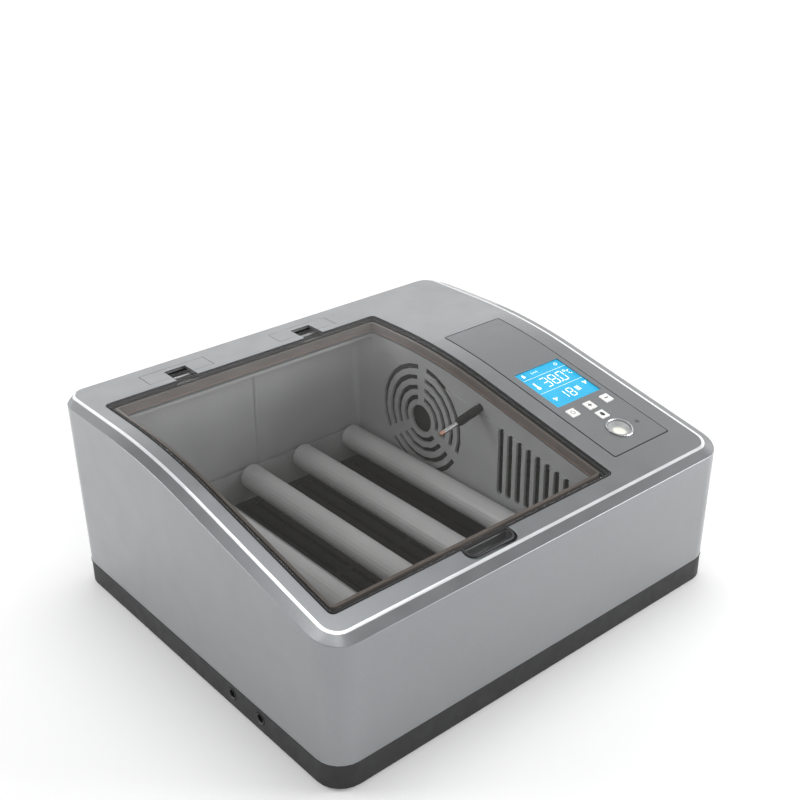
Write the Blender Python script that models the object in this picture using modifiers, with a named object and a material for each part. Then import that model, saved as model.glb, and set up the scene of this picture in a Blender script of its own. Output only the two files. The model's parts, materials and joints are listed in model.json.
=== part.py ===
"""Table-top egg incubator with a tinted viewing lid, an egg turner of driven rollers and a fan heater.

Frame: origin on the resting surface under the middle of the case, +X to the control panel's side,
+Y to the hinge side (rear), +Z up. Metres.
"""
import math

import bmesh
import bpy
from mathutils import Matrix, Vector

MM = 0.001

# ---- Driving dimensions -------------------------------------------------------------------------
WIDTH = 370 * MM
DEPTH = 322 * MM
FOOT_LIFT = 2 * MM
HEIGHT = FOOT_LIFT + 153.6 * MM
BASE_TOP = FOOT_LIFT + 17.6 * MM
CORNER_RADIUS = 20.7 * MM
DRAFT = 1.5 * MM

# The roof is level at the rear, bends on a large radius, and slopes straight down to the front.
BEND_START_Y = 90.4 * MM
BEND_RADIUS = 478 * MM
SLOPE = math.radians(12.06)
BEND_STEPS = 8
BEND_END_Y = BEND_START_Y - BEND_RADIUS * math.sin(SLOPE)
BEND_END_Z = HEIGHT - BEND_RADIUS * (1 - math.cos(SLOPE))
RIM_INSET = 8.5 * MM
RIM_DROP = 2.6 * MM

WALL = 2.5 * MM
GAP = 0.3 * MM
CORNER_STEPS = 6

# ---- Lid ----------------------------------------------------------------------------------------
LID_LEFT = -165 * MM
LID_RIGHT = 83.5 * MM
LID_FRONT = -137.5 * MM
LID_REAR = 125 * MM
LID_CORNER = 4 * MM
LID_THICKNESS = 3 * MM
LID_PROUD = 0.8 * MM
LID_GAP = 0.9 * MM
SKIRT_INSET = 4 * MM
SKIRT_FRONT_INSET = 5.5 * MM
SKIRT_THICKNESS = 2.2 * MM
SKIRT_DEPTH = 9.2 * MM
OPENING_INSET = 3.2 * MM
LEDGE_DEPTH = 3.6 * MM
COLLAR_DEPTH = 13 * MM
TAB_LEFT = -61 * MM
TAB_RIGHT = -21.5 * MM
TAB_FRONT = -147.3 * MM
SCOOP_MARGIN = 2 * MM
SCOOP_FRONT = -150.5 * MM
SCOOP_DEPTH = 10 * MM
SCOOP_CORNER = 7 * MM
LID_FRAME_WALL = 2 * MM

# ---- Hinges -------------------------------------------------------------------------------------
HINGE_XS = (-95.6 * MM, 22.6 * MM)
HINGE_Y = 138 * MM
HINGE_Z = HEIGHT - 4.5 * MM
KNUCKLE_RADIUS = 4 * MM
KNUCKLE_WIDTH = 16.8 * MM
NOTCH_WIDTH = 18.4 * MM
NOTCH_REAR = 145.5 * MM
COVER_WIDTH = 55.5 * MM
COVER_FRONT = 133.5 * MM
COVER_REAR = 150 * MM
COVER_THICKNESS = 1.2 * MM
PIN_RADIUS = 1.25 * MM
PIN_LENGTH = 26 * MM
BRACKET_WIDTH = 30 * MM
BRACKET_FRONT = 128.4 * MM
BRACKET_REAR = 149 * MM
BRACKET_BOTTOM = HEIGHT - 12.2 * MM

# ---- Chamber ------------------------------------------------------------------------------------
CHAMBER_LEFT = -159 * MM
CHAMBER_RIGHT = 78.5 * MM
CHAMBER_FRONT = -132.5 * MM
CHAMBER_REAR = 143 * MM
CHAMBER_CORNER = 5 * MM
LINER_WALL = 2.5 * MM
LINER_BOTTOM = 17 * MM
LINER_FLOOR = 19 * MM
FLOOR_FLANGE = 8 * MM
GRILLE_Y = 58.9 * MM
GRILLE_Z = 86.2 * MM
GRILLE_HUB = 12 * MM
GRILLE_RING_PITCH = 8.8 * MM
GRILLE_SLOT = 4 * MM
GRILLE_RINGS = 4
RING_STEP = 12 * MM
SPOKE_ANGLES = [math.radians(angle) for angle in (90, 205, 325, 450)]
SPOKE_HALF_ANGLE = math.radians(14)
SLOT_COUNT = 9
SLOT_FIRST_Y = -32.9 * MM
SLOT_PITCH = 9.65 * MM
SLOT_WIDTH = 5.4 * MM
SLOT_BOTTOM = 55.4 * MM
SLOT_BELOW_ROOF = 27.5 * MM
BEAD_X = -26 * MM
PROBE_HOLE_RADIUS = 3.3 * MM
FLOOR_SLOT_PITCH = 11 * MM
FLOOR_SLOT_WIDTH = 3.8 * MM

# ---- Egg turner ---------------------------------------------------------------------------------
ROLLER_COUNT = 5
ROLLER_RADIUS = 10.5 * MM
ROLLER_FIRST_X = -144.5 * MM
ROLLER_PITCH = 52.5 * MM
ROLLER_Z = 44 * MM
ROLLER_XS = [ROLLER_FIRST_X + index * ROLLER_PITCH for index in range(ROLLER_COUNT)]
STUB_RADIUS = 3 * MM
RUNNING_GAP = 0.25 * MM
GEAR_TEETH = 10
GEAR_MODULE = 1.0 * MM
GEAR_RADIUS = GEAR_TEETH * GEAR_MODULE / 2
PRESSURE_ANGLE = math.radians(25)
ADDENDUM = 0.6 * GEAR_MODULE
DEDENDUM = 0.85 * GEAR_MODULE
BACKLASH = 0.16 * MM
TRAY_FRONT = -131 * MM
TRAY_REAR = 140.8 * MM
TRAY_PLATE = 2.5 * MM
TRAY_SIDE_GAP = 2 * MM
TRAY_TOP = 50 * MM
TRAY_BOTTOM = 21.6 * MM
GEAR_BAY_REAR = -117.5 * MM
RACK_BOTTOM = 31.4 * MM
ROD_PITCH_Z = 30 * MM
ROD_BOTTOM = 26 * MM
MOTOR_X = 112 * MM
MOTOR_RADIUS = 24 * MM
MOTOR_LENGTH = 17 * MM
GEAR_FRONT = -127.6 * MM
GEAR_REAR = -121 * MM
GEAR_MIDDLE = (GEAR_FRONT + GEAR_REAR) / 2
GEAR_AXES = Matrix(((1, 0, 0), (0, 0, -1), (0, 1, 0))).to_4x4()
RACK_PLACE = Matrix.Translation((0, GEAR_MIDDLE, 0)) @ GEAR_AXES
PEG_LEFT = 68.3 * MM
PEG_RIGHT = PEG_LEFT + 2 * MM
PEG_INSET = 1.5 * MM
ROD_LEFT = 66 * MM
ROD_RIGHT = 134 * MM

# ---- Control panel ------------------------------------------------------------------------------
PANEL_LEFT = 100 * MM
PANEL_RIGHT = 160 * MM
PANEL_FRONT = -126.4 * MM
PANEL_REAR = 54 * MM
PANEL_THICKNESS = 1.5 * MM
PANEL_GAP = 0.6 * MM
PANEL_LEDGE = 3 * MM
PANEL_CUT = 20 * MM
LCD_LEFT = 107 * MM
LCD_RIGHT = 155.5 * MM
LCD_FRONT_Y = -64 * MM
LCD_REAR_Y = -17 * MM
LCD_RECT = (LCD_LEFT, LCD_RIGHT, LCD_FRONT_Y, LCD_REAR_Y)
BUTTON_SIDE = 8.5 * MM
BUTTON_GAP = 0.4 * MM
BUTTON_PROUD = 0.7 * MM
BUTTONS = {
    "button_set": (111.8 * MM, -74.4 * MM),
    "button_up": (130.6 * MM, -74.4 * MM),
    "button_down": (149.4 * MM, -74.4 * MM),
    "button_light": (130.6 * MM, -87.0 * MM),
}
CANDLER_X = 129.6 * MM
CANDLER_Y = -105 * MM
CANDLER_RADIUS = 10.6 * MM

# ---- Base ---------------------------------------------------------------------------------------
FOOT_RADIUS = 8 * MM
FOOT_SUNK = 0.9 * MM
FOOT_X = 145 * MM
FOOT_Y = 122 * MM
SCREW_X = 178.4 * MM
SCREW_Y = 100 * MM
BOSS_RADIUS = 4 * MM
BOSS_TOP = 60 * MM
PILOT_RADIUS = 1.9 * MM
AIR_SLOT_COUNT = 6
AIR_SLOT_LEFT = 104 * MM
AIR_SLOT_PITCH = 11 * MM
AIR_SLOT_WIDTH = 3 * MM
AIR_SLOT_LENGTH = 70 * MM
PORT_YS = (-80.3 * MM, -48 * MM)
PORT_Z = FOOT_LIFT + 10.4 * MM
PORT_BORE = 3.1 * MM
PORT_OUTER = 4.2 * MM
PORT_LENGTH = 9 * MM
PORT_OUTSIDE = -(WIDTH / 2 - DRAFT) - 0.3 * MM
WATER_RIGHT = 66 * MM
WATER_WALL_Y = -63 * MM

# ---- Air system and electrics -------------------------------------------------------------------
FAN_SIZE = 92 * MM
FAN_DEPTH = 20 * MM
FAN_FACE_X = CHAMBER_RIGHT + LINER_WALL + 0.5 * MM
INLET_X = 140 * MM
INLET_Z = 46 * MM
INLET_HALF = Vector((10.7 * MM, 0, 7.7 * MM))
BOARD_LOW = FOOT_LIFT + WALL + 5 * MM
BOARD_TOP = BOARD_LOW + 1.6 * MM


# ---- Scene and modelling helpers ----------------------------------------------------------------
def clear_scene():
    for item in list(bpy.data.objects):
        bpy.data.objects.remove(item, do_unlink=True)


def make_collection(name):
    collection = bpy.data.collections.new(name)
    bpy.context.scene.collection.children.link(collection)
    return collection


def roof(y):
    """Height of the roof surface at a given depth."""
    if y >= BEND_START_Y:
        return HEIGHT
    if y >= BEND_END_Y:
        return HEIGHT - BEND_RADIUS + math.sqrt(BEND_RADIUS ** 2 - (BEND_START_Y - y) ** 2)
    return BEND_END_Z - (BEND_END_Y - y) * math.tan(SLOPE)


def below_roof(depth):
    return lambda y: roof(y) - depth


def level(z):
    return lambda y: z


def bend_lines():
    """Depths at which the curved stretch of the roof changes facet, front to rear."""
    angles = [SLOPE * (1 - index / BEND_STEPS) for index in range(BEND_STEPS + 1)]
    return [BEND_START_Y - BEND_RADIUS * math.sin(angle) for angle in angles]


def quarter_circle(x, y, radius, start, steps):
    """Points of a quarter of a circle about (x, y), anticlockwise from a starting angle."""
    angles = [start + math.pi / 2 * index / steps for index in range(steps + 1)]
    return [(x + radius * math.cos(angle), y + radius * math.sin(angle)) for angle in angles]


def half_outline(right, front, rear, radius, steps):
    """Right-hand half of a rounded rectangle, front to rear, with a point on each bend line."""
    points = quarter_circle(right - radius, front + radius, radius, -math.pi / 2, steps)
    points += [(right, y) for y in bend_lines() if front + radius < y < rear - radius]
    points += quarter_circle(right - radius, rear - radius, radius, 0, steps)
    return points


def lofted_block(
    name, rect, radius, bottom, top, edge=(0, 0), draft=0, steps=CORNER_STEPS, rear_rim=True
):
    """Solid over a rounded rectangle, between two heights given as functions of y.

    edge is the width and drop of a sloped rim round the top, which can stop short of the rear side;
    draft narrows the foot of the walls.
    """
    left, right, front, rear = rect
    middle = (left + right) / 2
    rim_width, rim_drop = edge

    def ring(inset, height, rear_inset):
        corner = max(radius - inset, radius / 5)
        half = half_outline(right - inset, front + inset, rear - rear_inset, corner, steps)
        rights = [Vector((x, y, height(y))) for x, y in half]
        lefts = [Vector((2 * middle - x, y, height(y))) for x, y in half]
        return rights + lefts[::-1]

    rings = [ring(draft, bottom, draft), ring(0, lambda y: top(y) - rim_drop, 0)]
    if rim_width:
        rings.append(ring(rim_width, top, rim_width if rear_rim else 0))
    mesh = bmesh.new()
    layers = [[mesh.verts.new(point) for point in points] for points in rings]
    count = len(layers[0])
    for lower, upper in zip(layers, layers[1:]):
        for index in range(count):
            after = (index + 1) % count
            mesh.faces.new((lower[index], lower[after], upper[after], upper[index]))
    for layer, flip in ((layers[0], True), (layers[-1], False)):
        for index in range(count // 2 - 1):
            strip = [layer[index], layer[index + 1], layer[count - 2 - index], layer[count - 1 - index]]
            mesh.faces.new(strip[::-1] if flip else strip)
    return finish_mesh(name, mesh)


def finish_mesh(name, mesh):
    """Turn the faces outwards and make an object of the mesh."""
    bmesh.ops.recalc_face_normals(mesh, faces=mesh.faces)
    if mesh.calc_volume(signed=True) < 0:
        bmesh.ops.reverse_faces(mesh, faces=mesh.faces)
    data = bpy.data.meshes.new(name)
    mesh.to_mesh(data)
    mesh.free()
    return add_object(name, data)


def add_object(name, data):
    item = bpy.data.objects.new(name, data)
    PARTS.objects.link(item)
    return item


def box(name, low, high):
    """Box from its lowest to its highest corner."""
    mesh = bmesh.new()
    bmesh.ops.create_cube(mesh, size=1)
    size = Vector(high) - Vector(low)
    centre = (Vector(high) + Vector(low)) / 2
    place = Matrix.Translation(centre) @ Matrix.Diagonal((*size, 1))
    bmesh.ops.transform(mesh, matrix=place, verts=mesh.verts)
    return finish_mesh(name, mesh)


def cylinder(name, radius, start, end, sides=24):
    """Cylinder between two points."""
    start, end = Vector(start), Vector(end)
    direction = end - start
    mesh = bmesh.new()
    bmesh.ops.create_cone(
        mesh,
        cap_ends=True,
        segments=sides,
        radius1=radius,
        radius2=radius,
        depth=direction.length,
    )
    turn = direction.to_track_quat("Z", "Y").to_matrix().to_4x4()
    bmesh.ops.transform(mesh, matrix=Matrix.Translation((start + end) / 2) @ turn, verts=mesh.verts)
    return finish_mesh(name, mesh)


def curve_to_mesh(item):
    """Replace a curve object by a welded mesh object of the same name and place."""
    name = item.name
    data = bpy.data.meshes.new_from_object(item.evaluated_get(bpy.context.evaluated_depsgraph_get()))
    mesh = bmesh.new()
    mesh.from_mesh(data)
    bmesh.ops.remove_doubles(mesh, verts=mesh.verts, dist=1e-6)
    mesh.transform(item.matrix_world)
    bpy.data.objects.remove(item, do_unlink=True)
    return finish_mesh(name, mesh)


def plate(name, outline, thickness, matrix):
    """Flat outline extruded by its thickness, half to each side, then placed by a matrix."""
    curve = bpy.data.curves.new(name, "CURVE")
    curve.dimensions = "2D"
    curve.fill_mode = "BOTH"
    curve.extrude = thickness / 2
    spline = curve.splines.new("POLY")
    spline.points.add(len(outline) - 1)
    for point, (x, y) in zip(spline.points, outline):
        point.co = (x, y, 0, 1)
    spline.use_cyclic_u = True
    item = add_object(name, curve)
    item.matrix_world = matrix
    bpy.context.view_layer.update()
    return curve_to_mesh(item)


def turned(name, profile, matrix, sides=24):
    """Solid of revolution about local Z; the profile runs top to bottom down its outer side."""
    data = bpy.data.meshes.new(name)
    edges = [(index, index + 1) for index in range(len(profile) - 1)]
    data.from_pydata([(radius, 0, height) for radius, height in profile], edges, [])
    item = add_object(name, data)
    item.matrix_world = matrix
    screw = item.modifiers.new("Turn", "SCREW")
    screw.axis = "Z"
    screw.steps = sides
    screw.render_steps = sides
    screw.use_merge_vertices = True
    screw.merge_threshold = 0.00001
    return item


def cut(target, *tools):
    return combine(target, "DIFFERENCE", tools)


def join(target, *tools):
    return combine(target, "UNION", tools)


def combine(target, operation, tools):
    """Boolean the tools into the target one after another, apply the result, and drop the tools."""
    for tool in tools:
        modifier = target.modifiers.new(operation.title(), "BOOLEAN")
        modifier.operation = operation
        modifier.solver = "EXACT"
        modifier.object = tool
        bpy.context.view_layer.update()
        depsgraph = bpy.context.evaluated_depsgraph_get()
        result = bpy.data.meshes.new_from_object(target.evaluated_get(depsgraph))
        target.modifiers.clear()
        target.data = result
        bpy.data.objects.remove(tool, do_unlink=True)
    tidy_mesh(target)
    return target


def tidy_mesh(item):
    mesh = bmesh.new()
    mesh.from_mesh(item.data)
    bmesh.ops.remove_doubles(mesh, verts=mesh.verts, dist=2e-6)
    bmesh.ops.dissolve_degenerate(mesh, edges=mesh.edges, dist=1e-6)
    mesh.to_mesh(item.data)
    mesh.free()


def bevel(item, width, segments=2, angle=40):
    modifier = item.modifiers.new("Rounded edges", "BEVEL")
    modifier.width = width
    modifier.segments = segments
    modifier.limit_method = "ANGLE"
    modifier.angle_limit = math.radians(angle)
    return item


def shade(item, angle=30):
    item.data.shade_smooth()
    item.data.set_sharp_from_angle(angle=math.radians(angle))


def finish(item, colour, roughness, metallic=0.0, alpha=1.0):
    """Give a part its own material and smooth shading."""
    material = bpy.data.materials.new(item.name)
    material.use_nodes = True
    shader = material.node_tree.nodes["Principled BSDF"]
    shader.inputs["Base Color"].default_value = (*colour, 1)
    shader.inputs["Roughness"].default_value = roughness
    shader.inputs["Metallic"].default_value = metallic
    shader.inputs["Alpha"].default_value = alpha
    item.data.materials.clear()
    item.data.materials.append(material)
    shade(item)
    return item


def place_origin(item, point):
    """Move an object's origin to a point, such as one on its joint's axis, and keep its shape."""
    item.data.transform(Matrix.Translation(-Vector(point)))
    item.matrix_world = Matrix.Translation(Vector(point))
    return item


def grow(rect, amount):
    left, right, front, rear = rect
    return (left - amount, right + amount, front - amount, rear + amount)


# ---- Colours ------------------------------------------------------------------------------------
SILVER = (0.42, 0.44, 0.46)
CHARCOAL = (0.035, 0.036, 0.038)
LINER_GREY = (0.30, 0.31, 0.32)
BLACK = (0.012, 0.012, 0.013)
SMOKE = (0.16, 0.14, 0.13)
ROLLER_GREY = (0.55, 0.56, 0.57)
STEEL = (0.60, 0.60, 0.62)
BOARD_GREEN = (0.02, 0.16, 0.07)
WHITE = (0.80, 0.80, 0.80)

CASE_RECT = (-WIDTH / 2, WIDTH / 2, -DEPTH / 2, DEPTH / 2)
BASE_RECT = grow(CASE_RECT, -DRAFT)
LID_RECT = (LID_LEFT, LID_RIGHT, LID_FRONT, LID_REAR)
OPENING_RECT = grow(LID_RECT, -OPENING_INSET)
CHAMBER_RECT = (CHAMBER_LEFT, CHAMBER_RIGHT, CHAMBER_FRONT, CHAMBER_REAR)
SCOOP_RECT = (TAB_LEFT - SCOOP_MARGIN, TAB_RIGHT + SCOOP_MARGIN, SCOOP_FRONT, LID_FRONT + 3 * MM)
PANEL_RECT = (PANEL_LEFT, PANEL_RIGHT, PANEL_FRONT, PANEL_REAR)
# Frame in the plane of the roof's straight slope, its origin at y = 0.
SLOPE_HEIGHT = BEND_END_Z - BEND_END_Y * math.tan(SLOPE)
SLOPE_MATRIX = Matrix.Translation((0, 0, SLOPE_HEIGHT)) @ Matrix.Rotation(SLOPE, 4, "X")


def on_slope(x, y, lift=0):
    """Frame that stands on the sloping roof at a plan position, its Z along the roof's normal."""
    along = y / math.cos(SLOPE)
    return SLOPE_MATRIX @ Matrix.Translation((x, along, lift))


def slope_box(name, rect, low, high):
    """Box aligned with the sloping roof over a plan rectangle, between two heights along its normal."""
    left, right, front, rear = rect
    item = box(name, (left, front / math.cos(SLOPE), low), (right, rear / math.cos(SLOPE), high))
    item.data.transform(SLOPE_MATRIX)
    return item


# ---- Case ---------------------------------------------------------------------------------------
def lid_tray_blocks(extra):
    """The solids that the roof carries round the lid: ledge frame, collar and finger scoop."""
    top = below_roof(-extra)
    ledge_rect = grow(LID_RECT, LID_GAP + extra)
    ledge = lofted_block("ledge", ledge_rect, LID_CORNER + extra, below_roof(LEDGE_DEPTH + extra), top)
    opening_rect = grow(OPENING_RECT, extra)
    opening = lofted_block("opening", opening_rect, LID_CORNER, below_roof(COLLAR_DEPTH), top)
    scoop_rect = grow(SCOOP_RECT, extra)
    scoop = lofted_block("scoop", scoop_rect, SCOOP_CORNER, below_roof(SCOOP_DEPTH + extra), top)
    behind_low = (2 * TAB_LEFT, LID_FRONT + GAP + extra, 0)
    cut(scoop, box("behind the scoop", behind_low, (-TAB_RIGHT, 0, 2 * HEIGHT)))
    return ledge, opening, scoop


def square(x, y, half):
    """Rectangle (left, right, front, rear) of a square about a point of the plan."""
    return (x - half, x + half, y - half, y + half)


def corner_points(x, y):
    """The four points (+-x, +-y)."""
    return [(side * x, end * y) for side in (-1, 1) for end in (-1, 1)]


def housing_hollow():
    """Inside of the upper shell, which leaves the walls, the frame round the lid and four screw bosses."""
    hollow = lofted_block(
        "hollow",
        grow(CASE_RECT, -WALL),
        CORNER_RADIUS - WALL,
        level(0),
        below_roof(WALL),
        (RIM_INSET - WALL / 2, RIM_DROP),
        DRAFT,
    )
    cut(hollow, *lid_tray_blocks(LID_FRAME_WALL))
    for x, y in corner_points(SCREW_X, SCREW_Y):
        cut(hollow, cylinder("boss", BOSS_RADIUS, (x, y, -1 * MM), (x, y, BOSS_TOP), sides=16))
    return hollow


def cut_lid_opening(housing):
    """Ledge for the lid, the opening inside it and the finger scoop in front of it."""
    ledge, opening, scoop = lid_tray_blocks(0)
    bpy.data.objects.remove(opening, do_unlink=True)
    raise_top(ledge)
    raise_top(scoop)
    low, high = below_roof(COLLAR_DEPTH + 5 * MM), below_roof(-5 * MM)
    cut(housing, ledge, scoop, lofted_block("opening", OPENING_RECT, LID_CORNER, low, high))


def make_housing():
    """Silver upper shell with recesses for the lid, the panel, the hinges and the mains inlet."""
    rim = (RIM_INSET, RIM_DROP)
    foot = level(BASE_TOP + GAP)
    housing = lofted_block("outer_housing", CASE_RECT, CORNER_RADIUS, foot, roof, rim, DRAFT, rear_rim=False)
    cut(housing, housing_hollow())
    cut_lid_opening(housing)
    for x, y in corner_points(SCREW_X, SCREW_Y):
        cut(housing, cylinder("pilot", PILOT_RADIUS, (x, y, 10 * MM), (x, y, 45 * MM), sides=12))
    for centre in HINGE_XS:
        cut(housing, *hinge_recess(centre))
    above = below_roof(-5 * MM)
    recess_rect = grow(PANEL_RECT, PANEL_GAP)
    recess = lofted_block("panel recess", recess_rect, 2 * MM, below_roof(PANEL_THICKNESS + GAP), above)
    window = lofted_block("panel window", grow(PANEL_RECT, -PANEL_LEDGE), 2 * MM, below_roof(9 * MM), above)
    inlet_half = INLET_HALF + Vector((0.6 * MM, 8 * MM, 0.6 * MM))
    inlet_centre = Vector((INLET_X, DEPTH / 2, INLET_Z))
    cut(housing, recess, window, box("inlet hole", inlet_centre - inlet_half, inlet_centre + inlet_half))
    return finish(housing, SILVER, 0.32, 0.6)


def hinge_recess(centre):
    """Cutters for a hinge's flush cover and for the well that its knuckle turns in."""
    half = COVER_WIDTH / 2 + GAP
    low = (centre - half, COVER_FRONT - GAP, HEIGHT - COVER_THICKNESS - GAP)
    high = (centre + half, COVER_REAR + GAP, HEIGHT + 5 * MM)
    well_low = (centre - NOTCH_WIDTH / 2, LID_REAR, HEIGHT - LEDGE_DEPTH)
    well_high = (centre + NOTCH_WIDTH / 2, NOTCH_REAR, HEIGHT + 5 * MM)
    return box("cover recess", low, high), box("notch", well_low, well_high)


def raise_top(item):
    """Lift the top of a cutter well above the roof, so that it cuts cleanly through it."""
    for vertex in item.data.vertices:
        if vertex.co.z > roof(vertex.co.y) - 0.1 * MM:
            vertex.co.z += 5 * MM


def make_base():
    """Dark base tub with foot recesses, screw bosses, port holes and air slots."""
    base = lofted_block("base_tray", BASE_RECT, CORNER_RADIUS - DRAFT, level(FOOT_LIFT), level(BASE_TOP))
    inner_corner = CORNER_RADIUS - DRAFT - WALL
    floor_top, above = level(FOOT_LIFT + WALL), level(BASE_TOP + 5 * MM)
    hollow = lofted_block("hollow", grow(BASE_RECT, -WALL), inner_corner, floor_top, above)
    for x, y in corner_points(SCREW_X, SCREW_Y):
        cut(hollow, cylinder("boss", BOSS_RADIUS, (x, y, 0), (x, y, BASE_TOP - GAP), sides=16))
    cut(base, hollow)
    for x, y in corner_points(SCREW_X, SCREW_Y):
        shank = cylinder("shank hole", PILOT_RADIUS, (x, y, 0), (x, y, 30 * MM), sides=12)
        head = cylinder("head hole", 3.7 * MM, (x, y, 0), (x, y, 5 * MM), sides=16)
        cut(base, shank, head)
    for x, y in corner_points(FOOT_X, FOOT_Y):
        recess_top = (x, y, FOOT_LIFT + FOOT_SUNK + GAP)
        cut(base, cylinder("foot recess", FOOT_RADIUS + GAP, (x, y, 0), recess_top, sides=20))
    for port_y in PORT_YS:
        outside, inside = (-WIDTH, port_y, PORT_Z), (-WIDTH / 2 + 8 * MM, port_y, PORT_Z)
        cut(base, cylinder("port hole", PORT_OUTER + GAP, outside, inside))
    for index in range(AIR_SLOT_COUNT):
        left = AIR_SLOT_LEFT + index * AIR_SLOT_PITCH
        low = (left, -AIR_SLOT_LENGTH / 2, 0)
        high = (left + AIR_SLOT_WIDTH, AIR_SLOT_LENGTH / 2, 10 * MM)
        cut(base, box("air slot", low, high))
    return finish(base, CHARCOAL, 0.42)


def make_feet():
    """Rubber feet, each with a small bevel round its sole and its top sunk into the base."""
    top, bevel_width = FOOT_LIFT + FOOT_SUNK, 0.8 * MM
    profile = [
        (0, top),
        (FOOT_RADIUS, top),
        (FOOT_RADIUS, bevel_width),
        (FOOT_RADIUS - bevel_width, 0),
        (0, 0),
    ]
    for side, side_name in ((-1, "left"), (1, "right")):
        for end, end_name in ((-1, "front"), (1, "rear")):
            place = Matrix.Translation((side * FOOT_X, end * FOOT_Y, 0))
            finish(turned(f"foot_{end_name}_{side_name}", profile, place, sides=20), BLACK, 0.8)


def make_case_screws():
    """Self-tapping screws that hold the base to the housing's bosses."""
    head_radius, shank_radius = 3.3 * MM, 1.6 * MM
    head_low = FOOT_LIFT + 1 * MM
    head_top = head_low + 1.7 * MM
    tip = 40 * MM
    profile = [
        (0, tip),
        (0.75 * shank_radius, tip - 2 * MM),
        (shank_radius, tip - 4 * MM),
        (shank_radius, head_top),
        (head_radius, head_top),
        (head_radius, head_low),
        (0, head_low),
    ]
    for number, (x, y) in enumerate(corner_points(SCREW_X, SCREW_Y), start=1):
        screw = turned(f"case_screw_{number}", profile, Matrix.Translation((x, y, 0)), sides=10)
        finish(screw, STEEL, 0.35, 1.0)


def make_water_ports():
    """Short flanged tubes in the left side of the base, through which water is filled in."""
    flange = 0.5 * MM
    profile = [
        (PORT_BORE, PORT_LENGTH),
        (PORT_OUTER, PORT_LENGTH),
        (PORT_OUTER, 0),
        (PORT_BORE + flange, 0),
        (PORT_BORE, flange),
        (PORT_BORE, PORT_LENGTH),
    ]
    for port_y, name in zip(PORT_YS, ("water_port_front", "water_port_rear")):
        place = Matrix.Translation((PORT_OUTSIDE, port_y, PORT_Z)) @ Matrix.Rotation(math.pi / 2, 4, "Y")
        finish(turned(name, profile, place), BLACK, 0.5)


def make_water_tray():
    """Tray with two water channels under the chamber, notched where the ports reach in."""
    wall = 4 * MM
    bottom = 3 * MM
    floor = FOOT_LIFT + WALL + GAP
    left = PORT_OUTSIDE + PORT_LENGTH + GAP
    reach = SCREW_Y - BOSS_RADIUS - 3 * MM
    tray = box("water_tray", (left, -reach, floor), (WATER_RIGHT, reach, LINER_BOTTOM - GAP))
    for front, rear in ((-reach, WATER_WALL_Y), (WATER_WALL_Y, reach)):
        low = (left + wall, front + (wall if front == -reach else 0), floor + bottom)
        high = (WATER_RIGHT - wall, rear - wall, 2 * LINER_BOTTOM)
        cut(tray, box("channel", low, high))
    for port_y in PORT_YS:
        notch_low = (left - wall, port_y - PORT_OUTER, PORT_Z - PORT_BORE)
        notch_high = (left + 2 * wall, port_y + PORT_OUTER, 2 * LINER_BOTTOM)
        cut(tray, box("notch", notch_low, notch_high))
    finish(tray, CHARCOAL, 0.45)


# ---- Chamber ------------------------------------------------------------------------------------
# Frame in the middle of the chamber's right-hand wall: its X is the row's Y and its Y is the row's Z.
WALL_AXES = Matrix(((0, 0, 1), (1, 0, 0), (0, 1, 0))).to_4x4()
WALL_MATRIX = Matrix.Translation((CHAMBER_RIGHT + LINER_WALL / 2, 0, 0)) @ WALL_AXES
WALL_CUT = 12 * MM


def ring_slot(inner, outer, start, sweep):
    """Curved slot cutter: a stretch of ring about the grille's middle."""
    steps = max(4, round(sweep * outer / RING_STEP))
    angles = [start + sweep * index / steps for index in range(steps + 1)]
    outline = [(outer * math.cos(angle), outer * math.sin(angle)) for angle in angles]
    outline += [(inner * math.cos(angle), inner * math.sin(angle)) for angle in reversed(angles)]
    return plate("ring slot", outline, WALL_CUT, WALL_MATRIX @ Matrix.Translation((GRILLE_Y, GRILLE_Z, 0)))


def round_slot(y, low, high):
    """Upright slot cutter with round ends through the right-hand wall."""
    radius = SLOT_WIDTH / 2
    outline = []
    for centre, start in ((high - radius, 0), (low + radius, math.pi)):
        for index in range(5):
            angle = start + math.pi * index / 4
            outline.append((y + radius * math.cos(angle), centre + radius * math.sin(angle)))
    return plate("air slot", outline, WALL_CUT, WALL_MATRIX)


def grille_cutters():
    """Hub hole and rings of slots, interrupted by three spokes that narrow towards the hub."""
    cutters = []
    across = Vector((WALL_CUT, 0, 0))
    centre = Vector((CHAMBER_RIGHT, GRILLE_Y, GRILLE_Z))
    cutters.append(cylinder("hub hole", GRILLE_HUB, centre - across, centre + across))
    for ring in range(1, GRILLE_RINGS + 1):
        outer = GRILLE_HUB + ring * GRILLE_RING_PITCH
        inner = outer - GRILLE_SLOT
        margin = SPOKE_HALF_ANGLE * 2 * GRILLE_HUB / (inner + GRILLE_HUB)
        for spoke, after in zip(SPOKE_ANGLES, SPOKE_ANGLES[1:]):
            cutters.append(ring_slot(inner, outer, spoke + margin, after - spoke - 2 * margin))
    return cutters


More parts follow.
